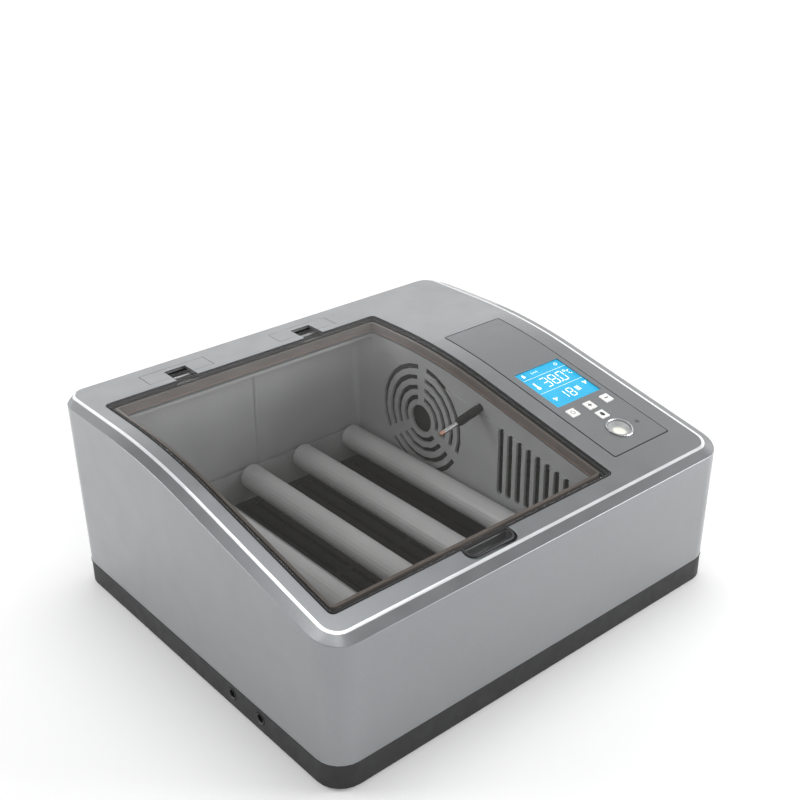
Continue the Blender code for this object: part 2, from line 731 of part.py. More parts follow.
def liner_shell():
    """Chamber walls with a flanged floor and a roof strip under the hinges."""
    rim = below_roof(COLLAR_DEPTH + GAP)
    room_top = below_roof(COLLAR_DEPTH + GAP + LINER_WALL)
    corner = CHAMBER_CORNER + LINER_WALL
    outer_rect = grow(CHAMBER_RECT, LINER_WALL)
    shell = lofted_block("inner_liner", outer_rect, corner, level(LINER_BOTTOM), rim, steps=4)
    room = lofted_block("room", CHAMBER_RECT, CHAMBER_CORNER, level(LINER_FLOOR), room_top, steps=4)
    mouth_rect = grow(OPENING_RECT, -0.5 * MM)
    mouth_low = below_roof(COLLAR_DEPTH + 15 * MM)
    mouth = lofted_block("mouth", mouth_rect, LID_CORNER, mouth_low, below_roof(-5 * MM), steps=4)
    hole_rect = grow(CHAMBER_RECT, -FLOOR_FLANGE)
    floor_hole = lofted_block("floor hole", hole_rect, CHAMBER_CORNER, level(0), level(30 * MM), steps=3)
    cut(shell, room, mouth, floor_hole)
    return shell


def make_liner():
    """Grey chamber with a bead up its rear wall, and on the right a fan grille and air slots."""
    liner = liner_shell()
    bead_foot = Vector((BEAD_X, CHAMBER_REAR + 0.6 * MM, 30 * MM))
    bead_head = Vector((BEAD_X, CHAMBER_REAR + 0.6 * MM, 139 * MM))
    join(liner, cylinder("bead", 2.2 * MM, bead_foot, bead_head, sides=12))
    cutters = grille_cutters()
    for index in range(SLOT_COUNT):
        y = SLOT_FIRST_Y - index * SLOT_PITCH
        cutters.append(round_slot(y, SLOT_BOTTOM, roof(y) - SLOT_BELOW_ROOF))
    rod_low = (CHAMBER_RIGHT - WALL_CUT, -128.5 * MM, ROD_BOTTOM - 1 * MM)
    rod_high = (CHAMBER_RIGHT + WALL_CUT, -119.5 * MM, ROD_PITCH_Z + 2 * MM)
    cutters.append(box("rod slot", rod_low, rod_high))
    probe, reach = probe_matrix(), Vector((0, 0, WALL_CUT))
    cutters.append(cylinder("probe hole", PROBE_HOLE_RADIUS, probe @ -reach, probe @ reach, sides=16))
    cut(liner, *cutters)
    return finish(liner, LINER_GREY, 0.5)


def make_floor_grid():
    """Slatted floor that lies on the chamber's floor flange, above the water."""
    low, high = level(LINER_FLOOR + GAP), level(LINER_FLOOR + 2.3 * MM)
    grid = lofted_block("floor_grid", grow(CHAMBER_RECT, -0.6 * MM), CHAMBER_CORNER, low, high, steps=3)
    left, right, front, rear = grow(CHAMBER_RECT, -FLOOR_FLANGE - 2 * MM)
    middle, half_bar, half_slot = (front + rear) / 2, 3 * MM, FLOOR_SLOT_WIDTH / 2
    count = int((right - left) / FLOOR_SLOT_PITCH)
    slots = []
    for index in range(count):
        x = left + (index + 0.5) * (right - left) / count
        for start, end in ((front, middle - half_bar), (middle + half_bar, rear)):
            slots.append(box("slot", (x - half_slot, start, 0), (x + half_slot, end, 30 * MM)))
    for slot in slots[1:]:
        append_mesh(slots[0], slot)
    cut(grid, slots[0])
    return finish(grid, BLACK, 0.6)


def append_mesh(target, item):
    """Add a separate, non-touching cutter to a group of cutters that is subtracted in one go."""
    mesh = bmesh.new()
    mesh.from_mesh(target.data)
    mesh.from_mesh(item.data)
    mesh.to_mesh(target.data)
    mesh.free()
    bpy.data.objects.remove(item, do_unlink=True)


# ---- Lid ----------------------------------------------------------------------------------------
def hinge_cylinder(name, radius, centre, length, sides=20):
    """Cylinder on the lid's hinge axis, its middle at a given x."""
    start = (centre - length / 2, HINGE_Y, HINGE_Z)
    end = (centre + length / 2, HINGE_Y, HINGE_Z)
    return cylinder(name, radius, start, end, sides)


def make_lid():
    """Tinted lid: a bent sheet with a finger tab and two hinge arms with knuckles."""
    sheet_top = below_roof(-LID_PROUD)
    sheet_bottom = below_roof(LID_THICKNESS - LID_PROUD)
    edge = (0.5 * MM, 0.5 * MM)
    lid = lofted_block("viewing_lid", LID_RECT, LID_CORNER, sheet_bottom, sheet_top, edge, steps=4)
    tab = lofted_block(
        "tab",
        (TAB_LEFT, TAB_RIGHT, TAB_FRONT, LID_FRONT + 6 * MM),
        5 * MM,
        below_roof(LID_THICKNESS - LID_PROUD - 0.2 * MM),
        below_roof(-LID_PROUD + 0.15 * MM),
        (0.4 * MM, 0.4 * MM),
        steps=4,
    )
    join(lid, tab)
    for centre in HINGE_XS:
        half = KNUCKLE_WIDTH / 2
        arm_low = (centre - half, LID_REAR - 0.6 * MM, HEIGHT - 3.2 * MM)
        arm_high = (centre + half, HINGE_Y, HEIGHT - 0.5 * MM)
        knuckle = hinge_cylinder("knuckle", KNUCKLE_RADIUS, centre, KNUCKLE_WIDTH, sides=24)
        join(lid, box("arm", arm_low, arm_high), knuckle)
        cut(lid, hinge_cylinder("bore", PIN_RADIUS + RUNNING_GAP, centre, 2 * KNUCKLE_WIDTH))
    place_origin(lid, (0, HINGE_Y, HINGE_Z))
    return finish(lid, SMOKE, 0.08, 0.0, 0.45)


def make_lid_skirt():
    """Frame bonded under the lid's sheet, which drops into the chamber's mouth on all four sides."""
    left, right, front, rear = LID_RECT
    rect = (left + SKIRT_INSET, right - SKIRT_INSET, front + SKIRT_FRONT_INSET, rear - SKIRT_INSET)
    low, high = below_roof(SKIRT_DEPTH), below_roof(LID_THICKNESS - LID_PROUD + GAP)
    skirt = lofted_block("lid_skirt", rect, LID_CORNER, low, high, steps=3)
    inner_rect = grow(rect, -SKIRT_THICKNESS)
    under, above = below_roof(SKIRT_DEPTH + 5 * MM), below_roof(-5 * MM)
    cut(skirt, lofted_block("inside", inner_rect, LID_CORNER / 2, under, above, steps=3))
    place_origin(skirt, (0, HINGE_Y, HINGE_Z))
    return finish(skirt, SMOKE, 0.15, 0.0, 0.6)


def make_lid_seal():
    """Flat rubber seal on the ledge, under the edge of the lid."""
    low, high = below_roof(LEDGE_DEPTH - GAP), below_roof(LEDGE_DEPTH - 1.1 * MM)
    seal = lofted_block("lid_seal", grow(LID_RECT, -1 * MM), LID_CORNER, low, high, steps=3)
    inner_rect = grow(OPENING_RECT, 0.4 * MM)
    under, above = below_roof(9 * MM), below_roof(-9 * MM)
    cut(seal, lofted_block("inside", inner_rect, LID_CORNER / 2, under, above, steps=3))
    return finish(seal, BLACK, 0.8)


def make_hinges():
    """For each hinge: a bracket under the roof, its steel pin and a cover flush with the roof."""
    for centre, side in zip(HINGE_XS, ("left", "right")):
        half = BRACKET_WIDTH / 2
        low = (centre - half, BRACKET_FRONT, BRACKET_BOTTOM)
        high = (centre + half, BRACKET_REAR, HEIGHT - WALL - GAP)
        bracket = box(f"hinge_bracket_{side}", low, high)
        well_low = (centre - NOTCH_WIDTH / 2, LID_REAR - LID_CORNER, HINGE_Z - KNUCKLE_RADIUS - 2 * GAP)
        well_high = (centre + NOTCH_WIDTH / 2, NOTCH_REAR, HEIGHT)
        pin_hole = hinge_cylinder("pin hole", PIN_RADIUS + RUNNING_GAP, centre, PIN_LENGTH + 2 * GAP)
        cut(bracket, box("well", well_low, well_high), pin_hole)
        finish(bracket, BLACK, 0.5)
        pin = hinge_cylinder(f"hinge_pin_{side}", PIN_RADIUS, centre, PIN_LENGTH, sides=16)
        finish(pin, STEEL, 0.25, 1.0)
        make_hinge_cover(centre, side)


def make_hinge_cover(centre, side):
    """Flat cover let into the roof, notched for the lid's knuckle."""
    rect = (centre - COVER_WIDTH / 2, centre + COVER_WIDTH / 2, COVER_FRONT, COVER_REAR)
    low, high, edge = level(HEIGHT - COVER_THICKNESS), level(HEIGHT), (0.25 * MM, 0.25 * MM)
    cover = lofted_block(f"hinge_cover_{side}", rect, 0.8 * MM, low, high, edge, steps=2)
    notch_low = (centre - NOTCH_WIDTH / 2, LID_REAR, HEIGHT - 9 * MM)
    notch_high = (centre + NOTCH_WIDTH / 2, NOTCH_REAR, HEIGHT + 9 * MM)
    cut(cover, box("notch", notch_low, notch_high))
    finish(cover, SILVER, 0.32, 0.6)


# ---- Control panel ------------------------------------------------------------------------------
def make_control_panel():
    """Flush panel plate with the display window, button holes and the candling lamp's hole."""
    edge = (0.25 * MM, 0.25 * MM)
    underside = below_roof(PANEL_THICKNESS)
    panel = lofted_block("control_panel", PANEL_RECT, 1.5 * MM, underside, roof, edge, steps=2)
    cut(panel, slope_box("window", LCD_RECT, -PANEL_CUT, PANEL_CUT))
    for x, y in BUTTONS.values():
        hole_rect = square(x, y, BUTTON_SIDE / 2 + BUTTON_GAP)
        cut(panel, slope_box("button hole", hole_rect, -PANEL_CUT, PANEL_CUT))
    lamp = on_slope(CANDLER_X, CANDLER_Y)
    lamp_low, lamp_high = lamp @ Vector((0, 0, -PANEL_CUT)), lamp @ Vector((0, 0, PANEL_CUT))
    cut(panel, cylinder("lamp hole", CANDLER_RADIUS - 0.6 * MM, lamp_low, lamp_high))
    return finish(panel, (0.33, 0.35, 0.37), 0.35, 0.5)


def make_display():
    """Display window, display module and the board behind them, square to the sloping roof."""
    window = slope_box("lcd_window", grow(LCD_RECT, -GAP), -1.6 * MM, -0.3 * MM)
    finish(window, (0.05, 0.45, 0.75), 0.1, 0.0, 0.5)
    module = slope_box("lcd_module", grow(LCD_RECT, 1.2 * MM), -6.5 * MM, -2.2 * MM)
    finish(module, (0.05, 0.35, 0.60), 0.3)
    board_rect = (PANEL_LEFT + 5 * MM, PANEL_RIGHT - 4.5 * MM, PANEL_FRONT + 8 * MM, LCD_REAR_Y + 6 * MM)
    finish(slope_box("display_board", board_rect, -12 * MM, -10.4 * MM), BOARD_GREEN, 0.5)


def make_buttons():
    """Square push buttons, each with a wider foot that keeps it under the panel."""
    half = BUTTON_SIDE / 2
    foot_half = half + 1.2 * MM
    foot_high = -PANEL_THICKNESS - 0.45 * MM
    foot_low = foot_high - 1.5 * MM
    for name, (x, y) in BUTTONS.items():
        button = slope_box(name, square(x, y, half), -4 * MM, BUTTON_PROUD)
        join(button, slope_box("foot", square(x, y, foot_half), foot_low, foot_high))
        place_origin(button, on_slope(x, y).translation)
        finish(bevel(button, 0.4 * MM), WHITE, 0.4)


def make_candler():
    """Candling lamp: a raised ring, a frosted dished lens and the light source under it."""
    place = on_slope(CANDLER_X, CANDLER_Y)
    outer = CANDLER_RADIUS
    inner = outer - 1.6 * MM
    ring_profile = [
        (inner, 0.7 * MM),
        (inner + 0.5 * MM, 1.1 * MM),
        (outer - 0.5 * MM, 1.0 * MM),
        (outer, 0.5 * MM),
        (outer, GAP),
        (outer - 0.9 * MM, GAP),
        (outer - 0.9 * MM, -3 * MM),
        (inner, -3 * MM),
        (inner, 0.7 * MM),
    ]
    finish(turned("candler_ring", ring_profile, place, sides=24), STEEL, 0.2, 0.9)
    rim = inner - GAP
    dish = [(rim * (index / 6), -2.2 * MM + 2.2 * MM * (index / 6) ** 2) for index in range(7)]
    lens_profile = dish + [(rim, -3 * MM), (0, -4 * MM)]
    finish(turned("candler_lens", lens_profile, place, sides=24), (0.9, 0.9, 0.82), 0.35)
    led_profile = [
        (0, -4.6 * MM),
        (1.4 * MM, -5.0 * MM),
        (2.4 * MM, -6.2 * MM),
        (2.4 * MM, -9 * MM),
        (3 * MM, -9 * MM),
        (3 * MM, -10 * MM),
        (0, -10 * MM),
    ]
    finish(turned("candler_led", led_profile, place, sides=16), WHITE, 0.2)


# ---- Air system ---------------------------------------------------------------------------------
def make_fan():
    """Axial fan behind the grille: square frame with a motor seat on struts, and a bladed rotor."""
    half = FAN_SIZE / 2
    back = FAN_FACE_X + FAN_DEPTH
    frame_low = (FAN_FACE_X, GRILLE_Y - half, GRILLE_Z - half)
    frame_high = (back, GRILLE_Y + half, GRILLE_Z + half)
    frame = box("fan_frame", frame_low, frame_high)
    duct_radius = half - 2.5 * MM
    centre = (GRILLE_Y, GRILLE_Z)
    cut(frame, cylinder("duct", duct_radius, (0, *centre), (WIDTH, *centre), sides=32))
    strut_front = back - 3 * MM
    seat = cylinder("seat", 15 * MM, (strut_front, *centre), (back, *centre), sides=20)
    for turn in range(2):
        reach = half - 1 * MM
        thick = 2 * MM
        wide, tall = (reach, thick) if turn else (thick, reach)
        low = (strut_front, GRILLE_Y - wide, GRILLE_Z - tall)
        high = (back - 0.4 * MM, GRILLE_Y + wide, GRILLE_Z + tall)
        join(frame, box("strut", low, high))
    join(frame, seat)
    finish(frame, BLACK, 0.5)

    hub_radius = 14 * MM
    blade_reach = duct_radius - 1.5 * MM
    rotor_front = FAN_FACE_X + 2 * MM
    rotor_back = strut_front - 0.6 * MM
    rotor = cylinder("fan_rotor", hub_radius, (rotor_front, *centre), (rotor_back, *centre), sides=20)
    blade_count = 7
    for index in range(blade_count):
        angle = 2 * math.pi * index / blade_count
        blade = box("blade", (-6 * MM, -0.7 * MM, hub_radius - 2 * MM), (6 * MM, 0.7 * MM, blade_reach))
        middle = Vector(((rotor_front + rotor_back) / 2, *centre))
        pitch = Matrix.Rotation(math.radians(40), 4, "Z")
        blade.data.transform(Matrix.Translation(middle) @ Matrix.Rotation(angle, 4, "X") @ pitch)
        join(rotor, blade)
    place_origin(rotor, (rotor_front, *centre))
    finish(rotor, BLACK, 0.4)


def make_heater():
    """Ring of sheathed heating tube behind the fan, on a bracket that stands on the fan's frame."""
    radius, tube = 32 * MM, 3 * MM
    centre_x = FAN_FACE_X + FAN_DEPTH + 7 * MM
    profile = []
    for index in range(9):
        angle = math.pi / 2 - 2 * math.pi * index / 8
        profile.append((radius + tube * math.cos(angle), tube * math.sin(angle)))
    place = Matrix.Translation((centre_x, GRILLE_Y, GRILLE_Z)) @ Matrix.Rotation(math.pi / 2, 4, "Y")
    finish(turned("heater_ring", profile, place, sides=20), (0.25, 0.24, 0.23), 0.45, 0.9)
    reach = radius + tube
    low_x = centre_x + tube + GAP
    plate_low = (low_x, GRILLE_Y - 8 * MM, GRILLE_Z - reach - 4 * MM)
    plate_high = (low_x + 1.5 * MM, GRILLE_Y + 8 * MM, GRILLE_Z + reach + 4 * MM)
    finish(box("heater_bracket", plate_low, plate_high), STEEL, 0.35, 1.0)


def probe_matrix():
    """Frame on the right-hand wall's face whose Z points along the temperature probe into the chamber."""
    droop = math.radians(12)
    turn = Matrix.Rotation(-math.pi / 2 - droop, 4, "Y")
    return Matrix.Translation((CHAMBER_RIGHT, -8.4 * MM, 121.1 * MM)) @ turn


def make_probe():
    """Temperature probe: a steel tube in a rubber sleeve that is pushed through the wall."""
    tip, tube = 42 * MM, 1.9 * MM
    profile = [(0, tip), (1.2 * MM, tip - 0.3 * MM), (tube, tip - 1.2 * MM), (tube, -6 * MM), (0, -6 * MM)]
    finish(turned("probe_tube", profile, probe_matrix(), sides=16), STEEL, 0.3, 1.0)
    inner, outer, neck = tube + GAP, 3.6 * MM, 3.0 * MM
    sleeve = [
        (inner, 24 * MM),
        (outer - 0.8 * MM, 23.4 * MM),
        (outer, 20 * MM),
        (outer, 1.6 * MM),
        (neck, 1.6 * MM),
        (neck, -4.6 * MM),
        (inner, -4.6 * MM),
        (inner, 24 * MM),
    ]
    finish(turned("probe_sleeve", sleeve, probe_matrix(), sides=20), BLACK, 0.7)


# ---- Egg turner ---------------------------------------------------------------------------------
def gear_outline(phase):
    """Involute pinion outline; phase is the angle of a tooth's middle."""
    base = GEAR_RADIUS * math.cos(PRESSURE_ANGLE)
    tip = GEAR_RADIUS + ADDENDUM
    root = GEAR_RADIUS - DEDENDUM
    involute_at_pitch = math.tan(PRESSURE_ANGLE) - PRESSURE_ANGLE
    half_tooth = (math.pi * GEAR_MODULE / 2 - BACKLASH) / (2 * GEAR_RADIUS)
    outline = []
    for tooth in range(GEAR_TEETH):
        middle = phase + 2 * math.pi * tooth / GEAR_TEETH
        flank = []
        for radius in (base, tip):
            roll = math.acos(min(1, base / radius))
            offset = half_tooth + involute_at_pitch - (math.tan(roll) - roll)
            flank.append((radius, offset))
        side = [(root, flank[0][1] + 0.02)] + flank
        outline += [(r * math.cos(middle - a), r * math.sin(middle - a)) for r, a in side]
        outline += [(r * math.cos(middle + a), r * math.sin(middle + a)) for r, a in reversed(side)]
    return outline


def make_pinion(name, x, z):
    """Pinion on a shaft along Y, with a tooth gap straight down, where the rack's tooth stands."""
    phase = -math.pi / 2 + math.pi / GEAR_TEETH
    place = Matrix.Translation((x, GEAR_MIDDLE, z)) @ GEAR_AXES
    pinion = plate(name, gear_outline(phase), GEAR_REAR - GEAR_FRONT, place)
    start, end = (x, GEAR_FRONT - 5 * MM, z), (x, GEAR_REAR + 5 * MM, z)
    cut(pinion, cylinder("bore", STUB_RADIUS + RUNNING_GAP, start, end, sides=14))
    place_origin(pinion, (x, GEAR_MIDDLE, z))
    return finish(pinion, WHITE, 0.5)


def rack_outline(start, end, bottom, pitch_z, tooth_middles, reach):
    """Side outline of a bar whose top carries stretches of straight-flanked teeth."""
    pitch = math.pi * GEAR_MODULE
    half_pitch_width = (pitch / 2 - BACKLASH) / 2
    root_z = pitch_z - DEDENDUM
    tip_z = pitch_z + ADDENDUM
    half_root = half_pitch_width + DEDENDUM * math.tan(PRESSURE_ANGLE)
    half_tip = half_pitch_width - ADDENDUM * math.tan(PRESSURE_ANGLE)
    outline = [(start, bottom), (end, bottom), (end, root_z)]
    teeth = [middle + step * pitch for middle in tooth_middles for step in range(-reach, reach + 1)]
    for x in sorted(teeth, reverse=True):
        outline += [(x + half_root, root_z), (x + half_tip, tip_z)]
        outline += [(x - half_tip, tip_z), (x - half_root, root_z)]
    return outline + [(start, root_z)]


def make_rack():
    """Toothed rack under the roller pinions, with a slot for the push rod's peg."""
    overhang = 7.5 * MM
    start, end = ROLLER_XS[0] - overhang, ROLLER_XS[-1] + overhang
    outline = rack_outline(start, end, RACK_BOTTOM, ROLLER_Z - GEAR_RADIUS, ROLLER_XS, 2)
    rack = plate("drive_rack", outline, GEAR_REAR - GEAR_FRONT, RACK_PLACE)
    slot_low = (PEG_LEFT - GAP, GEAR_FRONT + PEG_INSET - GAP, 20 * MM)
    slot_high = (PEG_RIGHT + GAP, GEAR_REAR - PEG_INSET + GAP, 36 * MM)
    cut(rack, box("peg slot", slot_low, slot_high))
    finish(rack, WHITE, 0.5)


def make_push_rod():
    """Toothed rod from the motor's pinion to the rack, which its peg pushes and pulls."""
    outline = rack_outline(ROD_LEFT, ROD_RIGHT, ROD_BOTTOM, ROD_PITCH_Z, [MOTOR_X], 3)
    rod = plate("drive_rod", outline, GEAR_REAR - GEAR_FRONT, RACK_PLACE)
    peg_low = (PEG_LEFT, GEAR_FRONT + PEG_INSET, 28 * MM)
    peg_high = (PEG_RIGHT, GEAR_REAR - PEG_INSET, 35 * MM)
    join(rod, box("peg", peg_low, peg_high))
    finish(rod, WHITE, 0.5)


def make_turner_motor():
    """Geared motor behind the rack, with its neck, its shaft and the pinion on the shaft."""
    motor_z = ROD_PITCH_Z + GEAR_RADIUS
    make_pinion("motor_pinion", MOTOR_X, motor_z)
    body_front = GEAR_REAR + 6 * MM
    inside_body = body_front + 1 * MM

    def along(name, radius, start_y, end_y, sides):
        return cylinder(name, radius, (MOTOR_X, start_y, motor_z), (MOTOR_X, end_y, motor_z), sides)

    body = along("turner_motor", MOTOR_RADIUS, body_front, body_front + MOTOR_LENGTH, 28)
    neck = along("neck", 5 * MM, GEAR_REAR + 2 * MM, inside_body, 16)
    shaft = along("shaft", STUB_RADIUS, GEAR_FRONT, inside_body, 16)
    join(body, neck, shaft)
    finish(body, STEEL, 0.3, 1.0)


def make_rollers():
    """Five rollers along the chamber, each with stub axles and a pinion pressed on its front stub."""
    body_front = GEAR_BAY_REAR + 0.6 * MM
    body_rear = TRAY_REAR - TRAY_PLATE - 0.6 * MM
    edge = 1.5 * MM
    for number, x in enumerate(ROLLER_XS, start=1):
        profile = [
            (0, TRAY_REAR - GAP),
            (STUB_RADIUS, TRAY_REAR - GAP),
            (STUB_RADIUS, body_rear),
            (ROLLER_RADIUS - edge, body_rear),
            (ROLLER_RADIUS, body_rear - edge),
            (ROLLER_RADIUS, body_front + edge),
            (ROLLER_RADIUS - edge, body_front),
            (STUB_RADIUS, body_front),
            (STUB_RADIUS, TRAY_FRONT + 0.6 * MM),
            (0, TRAY_FRONT + 0.6 * MM),
        ]
        place = Matrix.Translation((x, 0, ROLLER_Z)) @ Matrix.Rotation(-math.pi / 2, 4, "X")
        finish(turned(f"roller_{number}", profile, place, sides=22), ROLLER_GREY, 0.45)
        make_pinion(f"roller_pinion_{number}", x, ROLLER_Z)


def make_tray_frame():
    """Frame that carries the rollers: end plates with bearing holes, a gear bay and low side rails."""
    left, right = CHAMBER_LEFT + TRAY_SIDE_GAP, CHAMBER_RIGHT - TRAY_SIDE_GAP
    frame = box("tray_frame", (left, TRAY_FRONT, TRAY_BOTTOM), (right, TRAY_FRONT + TRAY_PLATE, TRAY_TOP))
    inner_low, inner_high = (left, GEAR_BAY_REAR - TRAY_PLATE, TRAY_BOTTOM), (right, GEAR_BAY_REAR, TRAY_TOP)
    inner_plate = box("inner plate", inner_low, inner_high)
    rear_low, rear_high = (left, TRAY_REAR - TRAY_PLATE, TRAY_BOTTOM), (right, TRAY_REAR, TRAY_TOP)
    rear_plate = box("rear plate", rear_low, rear_high)
    bay_floor = box(
        "bay floor",
        (left + 0.5 * MM, TRAY_FRONT + 1 * MM, TRAY_BOTTOM + 4 * MM),
        (60 * MM, GEAR_BAY_REAR - 1 * MM, RACK_BOTTOM - 0.4 * MM),
    )
    join(frame, inner_plate, bay_floor, rear_plate)
    rail_top = TRAY_BOTTOM + 8 * MM
    for rail_left in (left, -66.5 * MM, -13.5 * MM, right - 2.2 * MM):
        rail_low = (rail_left + 0.05 * MM, GEAR_BAY_REAR - 1 * MM, TRAY_BOTTOM + 0.1 * MM)
        rail_high = (rail_left + 2.15 * MM, TRAY_REAR - 1 * MM, rail_top)
        join(frame, box("rail", rail_low, rail_high))
    for x in ROLLER_XS:
        start, end = (x, TRAY_FRONT - 5 * MM, ROLLER_Z), (x, TRAY_REAR + 5 * MM, ROLLER_Z)
        cut(frame, cylinder("bearing", STUB_RADIUS + RUNNING_GAP, start, end, sides=14))
    return finish(frame, LINER_GREY, 0.5)


# ---- Electrics ----------------------------------------------------------------------------------
def make_power_board():
    """Power board on four standoffs, with its relay, terminal block and two capacitors."""
    board = box("power_board", (112 * MM, -20 * MM, BOARD_LOW), (172 * MM, 88 * MM, BOARD_TOP))
    seat = BOARD_TOP - 0.6 * MM
    join(
        board,
        box("relay", (152 * MM, 20 * MM, seat), (168 * MM, 40 * MM, seat + 16 * MM)),
        box("terminal", (150 * MM, 60 * MM, seat), (166 * MM, 82 * MM, seat + 10 * MM)),
    )
    for x, y, radius, height in ((160, 0, 6, 20), (144, -8, 4, 14)):
        foot = Vector((x, y, 0)) * MM + Vector((0, 0, seat))
        join(board, cylinder("capacitor", radius * MM, foot, foot + Vector((0, 0, height * MM)), 16))
    standoff_low, standoff_top = FOOT_LIFT + WALL + GAP, BOARD_LOW + 0.5 * MM
    for x in (116 * MM, 168 * MM):
        for y in (-16 * MM, 84 * MM):
            join(board, cylinder("standoff", 2.5 * MM, (x, y, standoff_low), (x, y, standoff_top), 12))
    finish(board, BOARD_GREEN, 0.5)


def make_transformer():
    """Transformer on the power board: an iron core with its winding showing on both sides."""
    low_z = BOARD_TOP + GAP
    core = box("transformer", (118 * MM, 22 * MM, low_z), (144 * MM, 56 * MM, low_z + 28 * MM))
    winding = box("winding", (115 * MM, 28 * MM, low_z + 6 * MM), (147 * MM, 50 * MM, low_z + 22 * MM))
    join(core, winding)
    finish(core, (0.20, 0.19, 0.18), 0.5, 0.6)


def make_mains_inlet():
    """Two-pin mains inlet in the rear wall, with a flange round its mouth."""
    face = DEPTH / 2 - 0.05 * MM

    def block(name, half_x, half_z, depth, proud):
        low = (INLET_X - half_x, face - depth, INLET_Z - half_z)
        high = (INLET_X + half_x, face + proud, INLET_Z + half_z)
        return box(name, low, high)

    inlet = block("mains_inlet", INLET_HALF.x, INLET_HALF.z, 22 * MM, -0.1 * MM)
    join(inlet, block("flange", 14 * MM, 11 * MM, 0.75 * MM, 0))
    cut(inlet, block("mouth", 7.5 * MM, 4.5 * MM, 16 * MM, 9 * MM))
    for side in (-1, 1):
        pin_x = INLET_X + side * 4.3 * MM
        back, tip = (pin_x, face - 18 * MM, INLET_Z), (pin_x, face - 7 * MM, INLET_Z)
        join(inlet, cylinder("pin", 1.2 * MM, back, tip, 12))
    finish(inlet, BLACK, 0.5)


clear_scene()
PARTS = make_collection("egg_incubator")
make_housing()
make_base()
make_feet()
make_case_screws()
make_water_ports()
make_water_tray()
make_liner()
make_floor_grid()
make_lid()
make_lid_skirt()
make_lid_seal()
make_hinges()
make_control_panel()
make_display()
make_buttons()
make_candler()
make_fan()
make_heater()
make_probe()
make_rollers()
make_tray_frame()
make_rack()
make_push_rod()
make_turner_motor()
make_power_board()
make_transformer()
make_mains_inlet()
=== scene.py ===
"""Looks of the egg incubator: finishes, rounded edges, display, small marks, floor, lights and camera.

Everything is in metres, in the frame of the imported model: origin on the resting surface under the
middle of the case, +X to the control panel's side, +Y to the hinge side, +Z up.
"""

import json
import math

import bmesh
import bpy
from mathutils import Matrix, Vector


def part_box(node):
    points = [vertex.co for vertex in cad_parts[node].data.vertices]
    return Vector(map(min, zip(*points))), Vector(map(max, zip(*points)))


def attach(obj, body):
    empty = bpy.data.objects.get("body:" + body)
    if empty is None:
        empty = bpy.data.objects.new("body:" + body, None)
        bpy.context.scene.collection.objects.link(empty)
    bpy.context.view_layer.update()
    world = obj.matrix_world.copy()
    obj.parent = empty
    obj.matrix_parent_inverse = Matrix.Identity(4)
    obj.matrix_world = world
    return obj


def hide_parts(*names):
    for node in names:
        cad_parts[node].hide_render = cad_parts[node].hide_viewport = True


MM = 0.001
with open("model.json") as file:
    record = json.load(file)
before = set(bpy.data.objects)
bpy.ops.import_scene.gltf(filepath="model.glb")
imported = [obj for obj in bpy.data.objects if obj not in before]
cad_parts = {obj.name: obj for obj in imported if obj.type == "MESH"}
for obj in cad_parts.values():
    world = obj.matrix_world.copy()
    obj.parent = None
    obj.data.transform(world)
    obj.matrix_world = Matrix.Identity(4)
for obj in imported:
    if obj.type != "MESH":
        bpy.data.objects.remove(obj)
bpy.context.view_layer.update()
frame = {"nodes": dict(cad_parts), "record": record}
NODES = frame["nodes"]
BODY_OF = {node: body for body, nodes in frame["record"]["behaviour"]["bodies"].items() for node in nodes}
SLOT_OF = {entry["node"]: entry["material_slot"] for entry in frame["record"]["subparts"]}

# Shape of the case: the slope of the roof, and a point on it
SLOPE = math.radians(12.06)
ROOF_POINT = Vector((0, -9.47 * MM, 145.05 * MM))

# Rounded edges: the width on each node, and the wider crest round the roof
EDGE_WIDTHS = {
    "outer_housing": 0.35 * MM,
    "base_tray": 0.35 * MM,
    "control_panel": 0.15 * MM,
    "hinge_cover_left": 0.15 * MM,
    "hinge_cover_right": 0.15 * MM,
    "viewing_lid": 0.25 * MM,
    "inner_liner": 0.4 * MM,
    "mains_inlet": 0.4 * MM,
}
CREST_WIDTHS = {"outer_housing": 1.2 * MM}
CREST_LAYER = "crest_weight"
SHARP_LAYER = "sharp_weight"
BEVEL_SEGMENTS = 4

# Tolerances for reading the CAD's faces and edges
SHARP_ANGLE = math.radians(25)
CREST_ANGLE = math.radians(5)
FLAT_ANGLE = math.radians(0.2)
WELD_DISTANCE = 0.002 * MM
NORMAL_TOLERANCE = 0.01
FACING = 0.6

# Details of the panel and the chamber
LCD_GLASS_THICKNESS = 1.3 * MM
GLOW_OFFSET = Vector((-1.2 * MM, -1.6 * MM, 0))
BEAD_X = -26 * MM


